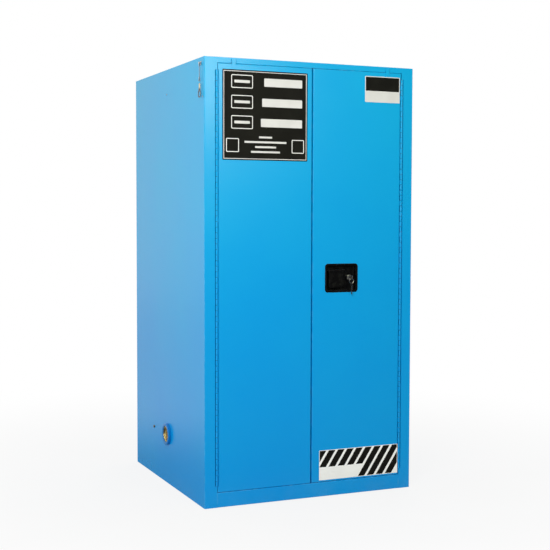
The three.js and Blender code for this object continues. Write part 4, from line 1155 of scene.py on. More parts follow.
@dataclass
class OuterShell:
    """The painted body: sides with their stiles, top, base, back and the rails above and below the doors."""

    bench: Bench
    corner: float = 2.6 * MM
    rail_fold: float = 1.8 * MM
    slit: float = 2.2 * MM
    slit_gap: float = 0.2 * MM
    rivet_radius: float = 3.2 * MM
    rivet_rise: float = 1.1 * MM
    rivets: tuple[tuple[float, float], ...] = ((0.003, 1.554), (-0.415, 1.508))

    def build(self) -> None:
        """Rounds the folds of the sheets and sets the rivets of the left side."""
        outer = self.bench.finishes.outer
        for node in ("left_side_panel", "right_side_panel"):
            self.bench.folded(node, "cabinet", "outer_paint", outer, self.corner)
        for node in ("bottom_rail", "top_panel", "base_panel"):
            self.bench.folded(node, "cabinet", "outer_paint", outer, self.rail_fold)
        self.bench.folded("top_rail", "cabinet", "outer_paint", outer, self.rail_fold, cutters=self.tab_slits())
        for node in ("back_panel", "door_lip"):
            self.bench.dress(node, outer)
        for number, (y, z) in enumerate(self.rivets, 1):
            self.rivet(number, y, z)

    def tab_slits(self) -> list[bpy.types.Object]:
        """The slits in the top rail on both sides of each door's tab.

        Returns:
            The shapes to cut out.
        """
        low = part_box("top_rail")[0]
        bottom = low.z - 1 * MM
        slits = []
        for side in Side:
            tab_low, tab_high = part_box(f"{side.word}_hold_open_tab")
            top = tab_high.z
            for left in (tab_low.x - self.slit - self.slit_gap, tab_high.x + self.slit_gap):
                right = left + self.slit
                outline = np.array([[left, bottom], [right, bottom], [right, top], [left, top]])
                slits.append(Shell().run(outline, low.y - 1 * MM, low.y + 3 * MM, Axis.Y).made("tab_slit"))
        return slits

    def rivet(self, number: int, y: float, z: float) -> None:
        """Sets one bare rivet on the left side.

        In words: the head is a low dome, whose rise falls off as the root of one less the square of the radius.

        Args:
            number: The rivet's number.
            y: Its place in Y.
            z: Its place in Z.
        """
        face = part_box("left_side_panel")[0].x
        share = np.linspace(0.0, 0.5 * math.pi, 8)
        radius = self.rivet_radius * np.maximum(np.sin(share), 0.02)
        profile = np.stack([radius, -self.rivet_rise * np.cos(share) - 0.05 * MM], axis=1)
        profile = np.concatenate([profile, [[self.rivet_radius, 0.4 * MM], [0.2 * MM, 0.4 * MM]]])
        piece = Shell().lathe(profile, Axis.X, (face, y, z), 24).made(f"side_rivet_{number}")
        self.bench.fit(piece, "cabinet", "zinc_steel", self.bench.finishes.dull_steel)


@dataclass
class InnerBox:
    """The inner walls, the sump, and what stands on the standards."""

    bench: Bench
    fold: float = 1.5 * MM
    standard_fold: float = 0.8 * MM
    tray_corner: float = 5.0 * MM
    tray_edge: float = 0.8 * MM

    def build(self) -> None:
        """Dresses the walls and rounds the folds that show when the doors are open."""
        inner, zinc, tray = self.bench.finishes.inner, self.bench.finishes.zinc, self.bench.finishes.tray
        for node in ("inner_left_wall", "inner_right_wall", "inner_back_wall", "inner_ceiling"):
            self.bench.dress(node, inner)
        for node in ("sump_pan", "lower_shelf", "upper_shelf"):
            self.bench.folded(node, "cabinet", "inner_paint", inner, self.fold)
        for node in ("lower_shelf_tray", "upper_shelf_tray"):
            self.bench.folded(node, "cabinet", "tray_plastic", tray, self.tray_corner, self.tray_edge)
        for side in Side:
            for place in ("front", "rear"):
                node = f"{side.word}_{place}_standard"
                self.bench.folded(node, "cabinet", "zinc_steel", zinc, self.standard_fold)


@dataclass
class FoldedDoor:
    """One door: an outer skin folded from a sheet, an inner pan and the tab that holds it open."""

    bench: Bench
    side: Side
    fold: float = 2.0 * MM
    pan_fold: float = 1.6 * MM
    tab_fold: float = 0.2 * MM
    tab_edge: float = 0.35 * MM
    strike_fold: float = 0.3 * MM
    sheet: float = 1.2 * MM
    flange: float = 29.0 * MM
    groove: float = 3.7 * MM
    groove_depth: float = 5.0 * MM
    groove_fold: float = 1.2 * MM
    dish_rim: float = 6.0 * MM
    hole_corner: float = 9.0 * MM
    top_hem: float = 0.8 * MM

    @property
    def body(self) -> str:
        """The body that the door belongs to."""
        return f"{self.side.word}_door"

    def build(self) -> None:
        """Makes the skin and rounds the folds of the pan, the tab and the strike."""
        finishes, tab = self.bench.finishes, f"{self.side.word}_hold_open_tab"
        self.skin()
        self.bench.folded(f"{self.side.word}_door_pan", self.body, "inner_paint", finishes.inner, self.pan_fold)
        self.bench.folded(tab, self.body, "outer_paint", finishes.outer, self.tab_fold, self.tab_edge)
        if self.side is Side.LEFT:
            self.bench.folded("door_strike", self.body, "zinc_steel", finishes.zinc, self.strike_fold)

    def section(self, front: float, back: float) -> tuple[Array, Array]:
        """The fold of the skin, from its face round its edge to the flange behind, and back along the inside.

        In words: each row is an inset from the door's outline and a depth. The rows turn through a quarter
        circle at the front and at the back. On the hinged edge the rows step in behind the knuckles first.

        Args:
            front: The depth of the face.
            back: The depth of the flange's back.

        Returns:
            The rows for the plain edges, and the rows for the hinged edge beside the knuckles.
        """
        wide = self.groove + self.groove_fold + self.sheet
        inner = back - self.sheet
        plain_front = np.array([0.0, front]) + quarter_round(self.fold)
        step_front = np.array([self.groove, front]) + quarter_round(self.groove_fold)
        step = front + self.groove_depth
        back_turn = np.array([0.0, back]) + quarter_round(self.fold)[:, ::-1] * [1, -1]
        shared = np.concatenate(
            [
                back_turn,
                [[self.flange, back], [self.flange, inner], [self.sheet + 0.8 * MM, inner]],
                [[self.sheet, inner - 0.8 * MM]],
            ]
        )
        plain = np.concatenate(
            [
                [[wide, front]],
                plain_front,
                [[0.0, step - 0.8 * MM], [0.0, step + 0.6 * MM]],
                shared,
                [[self.sheet, step + 1.6 * MM], [self.sheet, front + self.sheet + 1.4 * MM]],
                [[wide, front + self.sheet]],
            ]
        )
        hinged = np.concatenate(
            [
                [[wide, front]],
                step_front,
                [[self.groove, step], [0.0, step]],
                shared,
                [[self.sheet, step + self.sheet], [self.groove + self.sheet, step + self.sheet]],
                [[wide, front + self.sheet]],
            ]
        )
        return plain, hinged

    def skin(self) -> None:
        """Carries the fold's section round the door's outline. The right door keeps the latch's hole."""
        node = f"{self.side.word}_door_skin"
        low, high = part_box(node)
        hinge_low, hinge_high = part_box(f"{self.side.word}_hinge_door_leaf")
        near, far = reach_of(node)
        outline = RoundedRectangle(near, far, low.z, high.z + self.top_hem, self.fold)
        plain, hinged = self.section(low.y, high.y)
        rows = self.with_hinge_columns(outline, plain, hinged, hinge_low.z, hinge_high.z)
        ring = self.side is Side.RIGHT
        if ring:
            hole = self.latch_hole(low.y)
            rows = np.concatenate([hole[:1], rows, hole[1:]])
        rows[..., 0] *= self.side.value
        piece = Shell().grid(rows, ring).made(f"{node}_folded")
        self.bench.fit(piece, self.body, "outer_paint", self.bench.finishes.outer, [node])

    def with_hinge_columns(
        self, outline: RoundedRectangle, plain: Array, hinged: Array, hinge_low: float, hinge_high: float
    ) -> Array:
        """Draws every row round the outline, with four columns more on the hinged edge.

        Args:
            outline: The door's outline, with its hinged edge on the right.
            plain: The section's rows away from the hinge.
            hinged: The section's rows beside the hinge.
            hinge_low: Where the hinge starts.
            hinge_high: Where the hinge ends.

        Returns:
            The grid, rows by columns by 3.
        """
        loops = outline.loop(plain[:, 0])
        half = loops.shape[1] // 2
        height = np.array([hinge_low, hinge_low, hinge_high, hinge_high])
        use_hinged = np.array([False, True, True, False])
        inset = np.where(use_hinged[None, :], hinged[:, :1], plain[:, :1])
        extra = np.stack([outline.right - inset, np.broadcast_to(height, inset.shape)], axis=-1)
        flat = np.concatenate([loops[:, :half], extra, loops[:, half:]], axis=1)
        depth = np.concatenate(
            [
                np.repeat(plain[:, 1:], half, axis=1),
                np.where(use_hinged[None, :], hinged[:, 1:], plain[:, 1:]),
                np.repeat(plain[:, 1:], loops.shape[1] - half, axis=1),
            ],
            axis=1,
        )
        return in_space(flat, depth, Axis.Y)

    def latch_hole(self, front: float) -> Array:
        """The hole's edge in the face and behind it, with as many points as each of the door's rows.

        Args:
            front: The depth of the face.

        Returns:
            Two rows of points.
        """
        low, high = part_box("latch_dish")
        rim = self.dish_rim - 0.3 * MM
        opening = RoundedRectangle(low.x + rim, high.x - rim, low.z + rim, high.z - rim, self.hole_corner)
        loop = opening.loop(0.0)[0]
        half = len(loop) // 2
        heights = np.linspace(opening.bottom, opening.top, 8)[2:6]
        extra = np.stack([np.full(4, opening.right), heights], axis=1)
        flat = np.concatenate([loop[:half], extra, loop[half:]])
        depth = np.array([front, front + self.sheet])[:, None]
        return in_space(flat[None], depth, Axis.Y)


@dataclass
class PianoHinge:
    """A hinge as long as its door: two leaves whose rolled knuckles take turns along one pin."""

    bench: Bench
    side: Side
    knuckle: float = 4.0 * MM
    leaf: float = 1.5 * MM
    gap: float = 1.3 * MM
    pitch: float = 20.32 * MM
    roll_end: float = math.radians(282)
    roll_start: float = 4.3 * MM
    smooth_below: float = 30.0
    wing_reach: tuple[float, float] = (6.6 * MM, 5.7 * MM)
    wing_depth: tuple[float, float] = (2.8 * MM, 0.6 * MM)
    wing_sheet: float = 1.3 * MM

    def build(self) -> None:
        """Makes both leaves and dresses the pin."""
        pin = f"{self.side.word}_hinge_pin"
        low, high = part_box(pin)
        axis = np.array(middle_of(pin)[:2])
        count = round((high.z - low.z) / self.pitch)
        edges = np.linspace(low.z, high.z, count + 1)
        for outward, first, body, node in (
            (1, 0, "cabinet", f"{self.side.word}_hinge_frame_leaf"),
            (-1, 1, f"{self.side.word}_door", f"{self.side.word}_hinge_door_leaf"),
        ):
            self.rolled_leaf(node, body, axis, outward, edges[:-1][first::2], edges[1:][first::2])
        # The pin's near-black finish is partly painted shade in the knuckle gaps.
        self.bench.dress(pin, self.bench.finishes.oiled_steel)

    def knuckle_section(self, outward: int) -> Array:
        """The end view of one knuckle.

        In words: the sheet comes forward beside the pin, goes round it on the knuckle's radius to the roll's
        end, and comes back on that radius less the sheet. A short wing closes the gap on the leaf's own side.

        Args:
            outward: 1 for the leaf on the frame, -1 for the leaf on the door.

        Returns:
            The outline round the pin, n by 2.
        """
        own = 0 if outward > 0 else 1
        reach, front = self.wing_reach[own], self.wing_depth[own]
        back = front + self.wing_sheet
        angle = -np.linspace(0.0, self.roll_end, 30)
        ring = np.stack([np.cos(angle), np.sin(angle)], axis=1)
        roll, bore = self.knuckle, self.knuckle - self.leaf
        start = np.array([[roll, self.roll_start], [roll, back], [reach, back], [reach, front], [roll, front]])
        return np.concatenate([start, ring * roll, ring[::-1] * bore, [[bore, self.roll_start]]])

    def rolled_leaf(
        self, node: str, body: str, axis: Array, outward: int, starts: Array, ends: Array
    ) -> None:
        """Makes one leaf: its strip, and a knuckle for each stretch of the pin that it holds.

        Args:
            node: The frame's node.
            body: The body that it belongs to.
            axis: The pin's place in X and Y.
            outward: 1 for the leaf on the frame, -1 for the leaf on the door.
            starts: Where each knuckle's stretch starts.
            ends: Where each stretch ends.
        """
        low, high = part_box(node)
        sign = self.side.value * outward
        section = self.knuckle_section(outward) * np.array([sign, 1]) + axis
        shell = Shell()
        for start, end in zip(starts, ends):
            shell.run(section, float(start) + self.gap / 2, float(end) - self.gap / 2, Axis.Z)
        far, near = np.array([self.knuckle, self.knuckle - self.leaf]) * sign + axis[0]
        front, back = axis[1] + self.roll_start, high.y
        strip = np.array([[far, front], [far, back], [near, back], [near, front]])
        shell.run(strip, low.z, high.z, Axis.Z)
        piece = shell.made(f"{node}_rolled", self.smooth_below)
        paint = HingePaint(f"{self.side.word}_hinge_paint", axis=float(axis[1]))
        self.bench.fit(piece, body, "outer_paint", paint, [node], shade_evenly=False)


@dataclass
class LatchSet:
    """The flush latch: a dish, a paddle in it, a lock with its key, a ring and the spare key."""

    bench: Bench
    corner: float = 12.0 * MM
    floor: float = -414.0 * MM
    rear: float = -412.0 * MM
    key_bow: float = 10.0 * MM
    key_blade: float = 8.0 * MM

    def build(self) -> None:
        """Makes the parts that show and dresses the ones behind."""
        finishes = self.bench.finishes
        self.dish()
        self.paddle()
        self.lock()
        self.keys()
        for node in ("latch_cam", "upper_latch_rod", "lower_latch_rod"):
            self.bench.dress(node, finishes.zinc)
        for node in ("paddle_pin", "centre_bolt"):
            self.bench.dress(node, finishes.zinc_across)

    def dish(self) -> None:
        """Makes the dish as one pressed wall, carried round its rounded outline.

        In words: the rows go from the back of the bezel over its rounded lip, down the sloping wall, round the
        hollow corner to the floor, and back up the outside.
        """
        low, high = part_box("latch_dish")
        outline = RoundedRectangle(low.x, high.x, low.z, high.z, self.corner)
        face = low.y
        rear = self.rear
        bezel = np.array([[6.0, 1.5], [0.0, 1.5]]) * MM
        rows = np.concatenate(
            [
                [[24.0 * MM, rear], [6.6 * MM, rear], [6.0 * MM, rear - 1.2 * MM]],
                bezel + [0, face],
                quarter_round(1.1 * MM)[::-1] + [0, face],
                quarter_round(1.8 * MM) * [-1, 1] + [8.0 * MM, face],
                quarter_round(3.4 * MM)[:, ::-1] * [1, -1] + [8.6 * MM, self.floor],
                [[24.0 * MM, self.floor]],
            ]
        )
        shell = Shell().grid(in_space(outline.loop(rows[:, 0], 10), rows[:, 1:], Axis.Y))
        piece = shell.made("latch_dish_pressed")
        cut(piece, self.window())
        lock_low, lock_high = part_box("lock_cylinder")
        x, _, z = middle_of("lock_cylinder")
        radius = (lock_high.x - lock_low.x) / 2 + 0.3 * MM
        cut(piece, round_bar(radius, 8 * MM, Axis.Y, (x, rear, z), 40))
        self.bench.fit(piece, "right_door", "black_paint", self.bench.finishes.black, ["latch_dish"])
        self.ears()

    def window(self) -> bpy.types.Object:
        """The shape of the window in the dish's floor, behind the paddle's arm."""
        outline = rectangle_mm(106.75, 122.75, 843.7, 872.2, 1.5)
        return Shell().run(outline.loop(0.0)[0], -418 * MM, -408 * MM, Axis.Y).made("arm_window")

    def ears(self) -> None:
        """Makes the two ears that carry the paddle's pin, and the stud of the cam behind the dish."""
        low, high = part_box("latch_paddle")
        _, pin_y, pin_z = middle_of("paddle_pin")
        front, foot, head = pin_y - 3.6 * MM, pin_z - 3.6 * MM, pin_z + 3.6 * MM
        shell = Shell()
        corners = np.array([[front, foot], [self.floor, foot], [self.floor, head], [front, head]])
        section = rounded_corners(corners, np.array([3.4, 0.1, 0.1, 3.4]) * MM)
        for left in (low.x - 6.3 * MM, high.x + 0.3 * MM):
            shell.run(section, left + 0.1 * MM, left + 5.9 * MM, Axis.X)
        stud = np.array([[4.0, -412.0], [4.0, -404.8]]) * MM
        shell.lathe(stud, Axis.Y, (middle_of("latch_cam")[0], 0, 841.9 * MM), 28)
        self.bench.fit(shell.made("latch_ears"), "right_door", "black_paint", self.bench.finishes.black)

    def paddle(self) -> None:
        """Makes the paddle: a plate with its edges rolled back, hollow behind, a barrel and the arm.

        In words: the face sinks towards its middle by a shallow bowl, so that it catches a soft light, and the
        rolled edge is a quarter circle.
        """
        low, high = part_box("latch_paddle")
        _, pin_y, pin_z = middle_of("paddle_pin")
        face = pin_y - 3.8 * MM
        outline = RoundedRectangle(low.x, high.x, low.z, pin_z + 3.2 * MM, 4.5 * MM)
        bowl = np.array([[22.0, 0.9], [17.0, 0.85], [12.0, 0.6], [8.0, 0.3], [5.0, 0.08]]) * MM
        behind = np.array([[0.0, 8.0], [1.6, 8.0], [2.0, 4.4], [3.4, 2.6], [22.0, 2.6]]) * MM
        rows = np.concatenate([bowl, quarter_round(2.4 * MM, 6), behind]) + [0, face]
        shell = Shell().grid(in_space(outline.loop(rows[:, 0], 8), rows[:, 1:], Axis.Y))
        barrel = np.array([[3.0, 0.0], [3.8, 0.5], [3.8, 60.5], [3.0, 61.0], [2.3, 61.0], [2.3, 0.0]]) * MM
        shell.lathe(barrel, Axis.X, (low.x, pin_y, pin_z), 28, ring=True)
        arm = np.array([[110.75, -2.0], [118.75, -2.0], [118.75, 2.0], [110.75, 2.0]]) * MM + [0, pin_z]
        shell.run(rounded_corners(arm, 0.8 * MM), pin_y + 3.4 * MM, high.y, Axis.Y)
        piece = shell.made("latch_paddle_pressed")
        self.bench.fit(piece, "paddle", "black_paint", self.bench.finishes.black, ["latch_paddle"])

    def lock(self) -> None:
        """Makes the lock: a plated face ring with a chamfer, a plug and the slot for the key."""
        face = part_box("lock_cylinder")[0].y
        x, _, z = middle_of("lock_cylinder")
        middle = (x, face, z)
        chamfer = [[6.4, 0.9], [6.4, 0.5], [7.0, 0.2], [7.6, 0.0], [9.8, 0.0], [10.6, 0.3], [11.0, 1.0]]
        profile = np.array([*chamfer, [11.0, 20.0], [6.4, 20.0]]) * MM
        shell = Shell().lathe(profile, Axis.Y, middle, 48, ring=True)
        plug = np.array([[0.2, 0.7], [5.6, 0.7], [6.1, 1.1], [6.1, 19.6], [0.2, 19.6]]) * MM
        shell.lathe(plug, Axis.Y, middle, 40)
        piece = shell.made("lock_cylinder_turned")
        slot = RoundedRectangle(x - 1.3 * MM, x + 1.3 * MM, z - 4.3 * MM, z + 4.3 * MM, 0.5 * MM)
        cut(piece, Shell().run(slot.loop(0.0)[0], face - 3 * MM, face + 12 * MM, Axis.Y).made("key_slot"))
        self.bench.fit(piece, "lock", "zinc_steel", self.bench.finishes.zinc, ["lock_cylinder"])

    def key_outline(self, length: float, teeth: bool) -> Array:
        """The outline of a flat key whose bow is centred on zero and whose blade points along plus.

        In words: the bow is a circle left open where the blade joins it, and the teeth are half-cosine cuts
        whose depth changes from one to the next.

        Args:
            length: How far from the bow's middle the blade reaches.
            teeth: The key is cut.

        Returns:
            The outline, n by 2.
        """
        bow, blade, start = self.key_bow, self.key_blade, 12.5 * MM
        open_angle = math.asin(blade / 2 / bow)
        angle = np.linspace(open_angle, 2 * math.pi - open_angle, 48)
        circle = np.stack([np.cos(angle), np.sin(angle)], axis=1) * bow
        along = np.linspace(start, length, 60)
        depth = 0.55 + 0.45 * np.sin(along / (2.1 * MM))
        wave = 0.5 - 0.5 * np.cos(2 * math.pi * (along - start) / (4.2 * MM))
        bite = blade * 0.3 * depth * wave if teeth else np.zeros(60)
        lower = np.stack([along, -blade / 2 + bite], axis=1)
        tip = np.array([[length + blade * 0.2, -blade * 0.16], [length + blade * 0.2, blade * 0.2]])
        upper = np.array([[length, blade / 2]])
        return np.concatenate([circle, lower, tip, upper])

    def keys(self) -> None:
        """Makes the key in the lock, the ring and the spare key that hangs from it."""
        ring = middle_of("key_ring")
        low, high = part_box("lock_key")
        eye = (low.y + self.key_bow, middle_of("lock_key")[2])
        self.flat_key("lock_key", self.key_outline(high.y - eye[0] - 1.7 * MM, False), eye, "lock")
        low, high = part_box("spare_key")
        eye = (ring[1], high.z - self.key_bow)
        spare = self.key_outline(eye[1] - low.z - 1.7 * MM, True)
        self.flat_key("spare_key", spare[:, ::-1] * [1, -1], eye, "hanging_key")
        path = circle_path(ring, 10 * MM, ALONG_X, ALONG_Z, 64)
        piece = Shell().tube(path, 0.85 * MM, ALONG_Y, True, 12).made("key_ring_bent")
        self.bench.fit(piece, "lock", "zinc_steel", self.bench.finishes.zinc, ["key_ring"], shade_evenly=False)

    def flat_key(self, node: str, outline: Array, eye: tuple[float, float], body: str) -> None:
        """Cuts a key from flat stock, with a hole in its bow and its edges broken.

        Args:
            node: The frame's node that it stands in for.
            outline: The key's outline round the middle of its bow.
            eye: Where the middle of its bow lies in Y and Z.
            body: The body that it belongs to.
        """
        x = middle_of("key_ring")[0]
        piece = Shell().run(outline + eye, x - 0.95 * MM, x + 0.95 * MM, Axis.X).made(f"{node}_cut")
        cut(piece, round_bar(2.6 * MM, 4 * MM, Axis.X, (x, *eye), 24))
        break_edges(piece, 0.22 * MM)
        self.bench.fit(piece, body, "zinc_steel", self.bench.finishes.dull_steel, [node])


@dataclass
class VentPort:
    """A vent: a collar outside, a brass bung in it and a perforated disc at its inner end."""

    bench: Bench
    side: Side
    centre: Place = field(init=False)

    def build(self) -> None:
        """Turns the collar and the bung and dresses the disc."""
        self.centre = (0.0, *middle_of(f"{self.side.word}_vent_sleeve")[1:])
        self.collar()
        self.bung()
        self.bench.dress(f"{self.side.word}_flame_arrester", self.bench.finishes.zinc_across)

    def collar(self) -> None:
        """Turns the sleeve with its collar. The collar's front corner and its mouth are rounded."""
        node = f"{self.side.word}_vent_sleeve"
        inner, outer = reach_of(node)
        seat = outer - 11.7 * MM
        sleeve = [[32.0 * MM, inner], [36.4 * MM, inner], [36.4 * MM, seat], [42.4 * MM, seat]]
        front = [42.4 * MM, outer] - quarter_round(2.6 * MM, 6)[:, ::-1]
        mouth = [32.0 * MM, outer] + quarter_round(2.0 * MM, 6) * [1, -1]
        profile = np.concatenate([sleeve, front, mouth])
        profile[:, 1] *= self.side.value
        piece = Shell().lathe(profile, Axis.X, self.centre, 72, ring=True).made(f"{node}_turned")
        # The collar's darker blue is painted shade.
        self.bench.fit(piece, "cabinet", "outer_paint", self.bench.finishes.collar, [node])

    def bung(self) -> None:
        """Turns the brass bung, with threads on its edge, a hollow in its face and the bar across it."""
        node = f"{self.side.word}_vent_bung"
        inner, outer = reach_of(node)
        steps = np.linspace(0.0, 1.0, 29)
        crest = 31.2 * MM + 0.35 * MM * np.cos(steps * 14 * math.pi)
        thread = np.stack([crest, inner + steps * (outer - inner - 3 * MM)], axis=1)
        rim = np.array([[31.5, -2.6], [31.5, -0.5], [31.0, 0.0], [27.4, 0.0]]) * MM
        hollow = np.array([[26.6, -0.7], [23.2, -7.0], [21.8, -7.8], [0.2, -8.0]]) * MM
        profile = np.concatenate([[[0.2 * MM, inner]], thread, rim + [0, outer], hollow + [0, outer]])
        profile[:, 1] *= self.side.value
        shell = Shell().lathe(profile, Axis.X, self.centre, 96)
        _, y, z = self.centre
        bar = RoundedRectangle(y - 4.5 * MM, y + 4.5 * MM, z - 25.8 * MM, z + 25.8 * MM, 1.2 * MM)
        rows = np.array([[0.0, -9.0], [0.0, -2.2], [0.35, -1.5], [1.2, -1.3]]) * MM
        depth = (rows[:, 1:] + outer) * self.side.value
        shell.grid(in_space(bar.loop(rows[:, 0], 4), depth, Axis.X))
        brass = TurnedBrass("brass", centre=self.centre)
        self.bench.fit(shell.made(f"{node}_turned"), "cabinet", "brass", brass, [node])


@dataclass
class LinkSet:
    """What releases a door in a fire: a stud, a wire, a soldered brass link and a pull ring."""

    bench: Bench
    side: Side
    wire: float = 1.25 * MM
    eye: float = 2.8 * MM
    eye_steps: int = 36
    twist_length: Layer = (1.0 * MM, 8.0 * MM)
    twist_turns: int = 5
    smooth_below: float = 60.0

    @property
    def body(self) -> str:
        """The body that hangs from the stud."""
        return f"{self.side.word}_link"

    def build(self) -> None:
        """Makes the stud, the wire with its twisted eyes, the link and the ring."""
        self.anchor()
        self.hung_wire()
        self.link()
        self.ring()

    def anchor(self) -> None:
        """Turns the stud with its washer and its domed head."""
        node = f"{self.side.word}_link_anchor"
        centre = (0.0, *middle_of(node)[1:])
        foot = [[0.2, -12.4], [4.4, -12.4], [4.4, -11.0], [2.0, -11.0], [2.0, -9.2]]
        washer = [[6.4, -9.2], [6.7, -8.9], [6.4, -8.1], [2.0, -8.0]]
        head = [[2.0, -1.5], [4.3, -1.5], [4.4, -1.1], [3.8, -0.5], [2.4, -0.12], [0.2, 0.0]]
        profile = np.array([*foot, *washer, *head]) * MM + [0, reach_of(node)[1]]
        profile[:, 1] *= self.side.value
        piece = Shell().lathe(profile, Axis.X, centre, 36).made(f"{node}_turned")
        self.bench.fit(piece, "cabinet", "zinc_steel", self.bench.finishes.zinc, [node])

    def add_eye(self, shell: Shell, middle: Place, across: Array, along: Array) -> None:
        """Bends an upright eye of wire.

        Args:
            shell: The shell that it goes into.
            middle: The eye's middle.
            across: The direction in which the eye is wide.
            along: The direction through the eye.
        """
        path = circle_path(middle, self.eye, across, ALONG_Z, self.eye_steps)
        shell.tube(path, self.wire, along, True, 8)

    def add_twist(self, shell: Shell, x: float, y: float, low: float, high: float) -> None:
        """Winds the wire's end round the wire.

        In words: the winding is a helix whose height grows evenly with its angle.

        Args:
            shell: The shell that it goes into.
            x: The wire's place in X.
            y: The wire's place in Y.
            low: Where the winding starts.
            high: Where it ends.
        """
        share = np.linspace(0, 1, self.twist_turns * 14)
        angle = 2 * math.pi * self.twist_turns * share
        spokes = np.stack([np.cos(angle), np.sin(angle), np.zeros_like(angle)], axis=1)
        path = 1.5 * self.wire * spokes + [x, y, low] + (high - low) * share[:, None] * ALONG_Z
        shell.tube(path, self.wire * 0.6, spokes, False, 6)

    def hung_wire(self) -> None:
        """Bends the wire: an eye round the stud, a straight drop, and a second eye through the link."""
        node = f"{self.side.word}_link_wire"
        low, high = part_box(node)
        x, y, middle = middle_of(node)
        reach = self.eye + self.wire
        top, bottom = high.z - reach, low.z + reach
        shell = Shell()
        self.add_eye(shell, (x, y, top), ALONG_Y, ALONG_X)
        self.add_eye(shell, (x, y, bottom), ALONG_X, ALONG_Y)
        drop = np.array([[x, y, bottom + self.eye], [x, y, middle], [x, y, top - self.eye]])
        shell.tube(drop, self.wire, ALONG_X, False, 8)
        near, far = self.twist_length
        self.add_twist(shell, x, y, top - self.eye - far, top - self.eye - near)
        self.add_twist(shell, x, y, bottom + self.eye + near, bottom + self.eye + far)
        piece = shell.made(f"{node}_bent", self.smooth_below)
        self.bench.fit(piece, self.body, "zinc_steel", self.bench.finishes.zinc, [node], shade_evenly=False)

    def link(self) -> None:
        """Cuts the brass link: two straps, the solder's step between them and a hole at each end."""
        node = f"{self.side.word}_fusible_link"
        low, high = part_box(node)
        x, y, _ = middle_of(node)
        third = (high.z - low.z) / 3
        shell = Shell()
        for bottom, top, near, far in (
            (low.z, high.z - third, -0.75 * MM, 0.02 * MM),
            (low.z + third, high.z, -0.02 * MM, 0.75 * MM),
        ):
            strap = RoundedRectangle(low.y, high.y, bottom, top, 4.0 * MM)
            rows = np.array([[0.3 * MM, near], [0.0, near + 0.2 * MM], [0.0, far - 0.2 * MM], [0.3 * MM, far]])
            shell.grid(in_space(strap.loop(rows[:, 0], 8), rows[:, 1:] * self.side.value + x, Axis.X))
        piece = shell.made(f"{node}_cut")
        for z in (low.z + 4.4 * MM, high.z - 4.4 * MM):
            cut(piece, round_bar(2.4 * MM, 4 * MM, Axis.X, (x, y, z), 20))
        brass = TurnedBrass(
            "brass", (0.80, 0.68, 0.36), (0.42, 0.33, 0.16), centre=(x, 0, 0), plane=(0, 1, 0.02), pitch=0.0016
        )
        self.bench.fit(piece, self.body, "brass", brass, [node])

    def ring(self) -> None:
        """Bends the pull ring and the eye that joins it to the link."""
        node = f"{self.side.word}_pull_ring"
        low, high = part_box(node)
        x, y, _ = middle_of(node)
        radius = (high.y - low.y) / 2 - 1.8 * MM
        path = circle_path((x, y, low.z + 1.8 * MM + radius), radius, ALONG_Y, ALONG_Z, 72)
        shell = Shell().tube(path, 1.75 * MM, ALONG_X, True, 12)
        self.add_eye(shell, (x, y, high.z - self.eye - self.wire), ALONG_X, ALONG_Y)
        piece = shell.made(f"{node}_bent", self.smooth_below)
        steel = self.bench.finishes.dull_steel
        self.bench.fit(piece, self.body, "zinc_steel", steel, [node], shade_evenly=False)


@dataclass
class GroundScrew:
    """The brass screw for the earthing wire."""

    bench: Bench

    def build(self) -> None:
        """Turns the screw: a six-sided head on a washer, with a chamfer."""
        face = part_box("ground_screw")[0].x
        _, y, z = middle_of("ground_screw")
        corner = np.arange(6) * math.pi / 3 + math.pi / 6
        hexagon = rounded_corners(np.stack([np.cos(corner), np.sin(corner)], axis=1) * 5.2 * MM, 0.4 * MM, 2)
        scale = np.array([0.78, 0.97, 1.0, 1.0])[:, None, None]
        along = face + np.array([[0.0], [0.35], [0.8], [3.1]]) * MM
        shell = Shell().grid(in_space(hexagon[None] * scale + [y, z], along, Axis.X))
        washer = [[0.2, 3.1], [5.4, 3.1], [5.6, 3.3], [5.6, 3.9]]
        shank = [[2.9, 3.9], [2.9, 5.9], [5.6, 5.9], [5.6, 9.6], [0.2, 9.6]]
        shell.lathe(np.array([*washer, *shank]) * MM, Axis.X, (face, y, z), 32)
        piece = shell.made("ground_screw_turned")
        brass = TurnedBrass("brass", (0.24, 0.17, 0.07), (0.06, 0.05, 0.03), centre=(0.0, y, z), pitch=0.0008)
        self.bench.fit(piece, "cabinet", "brass", brass, ["ground_screw"])


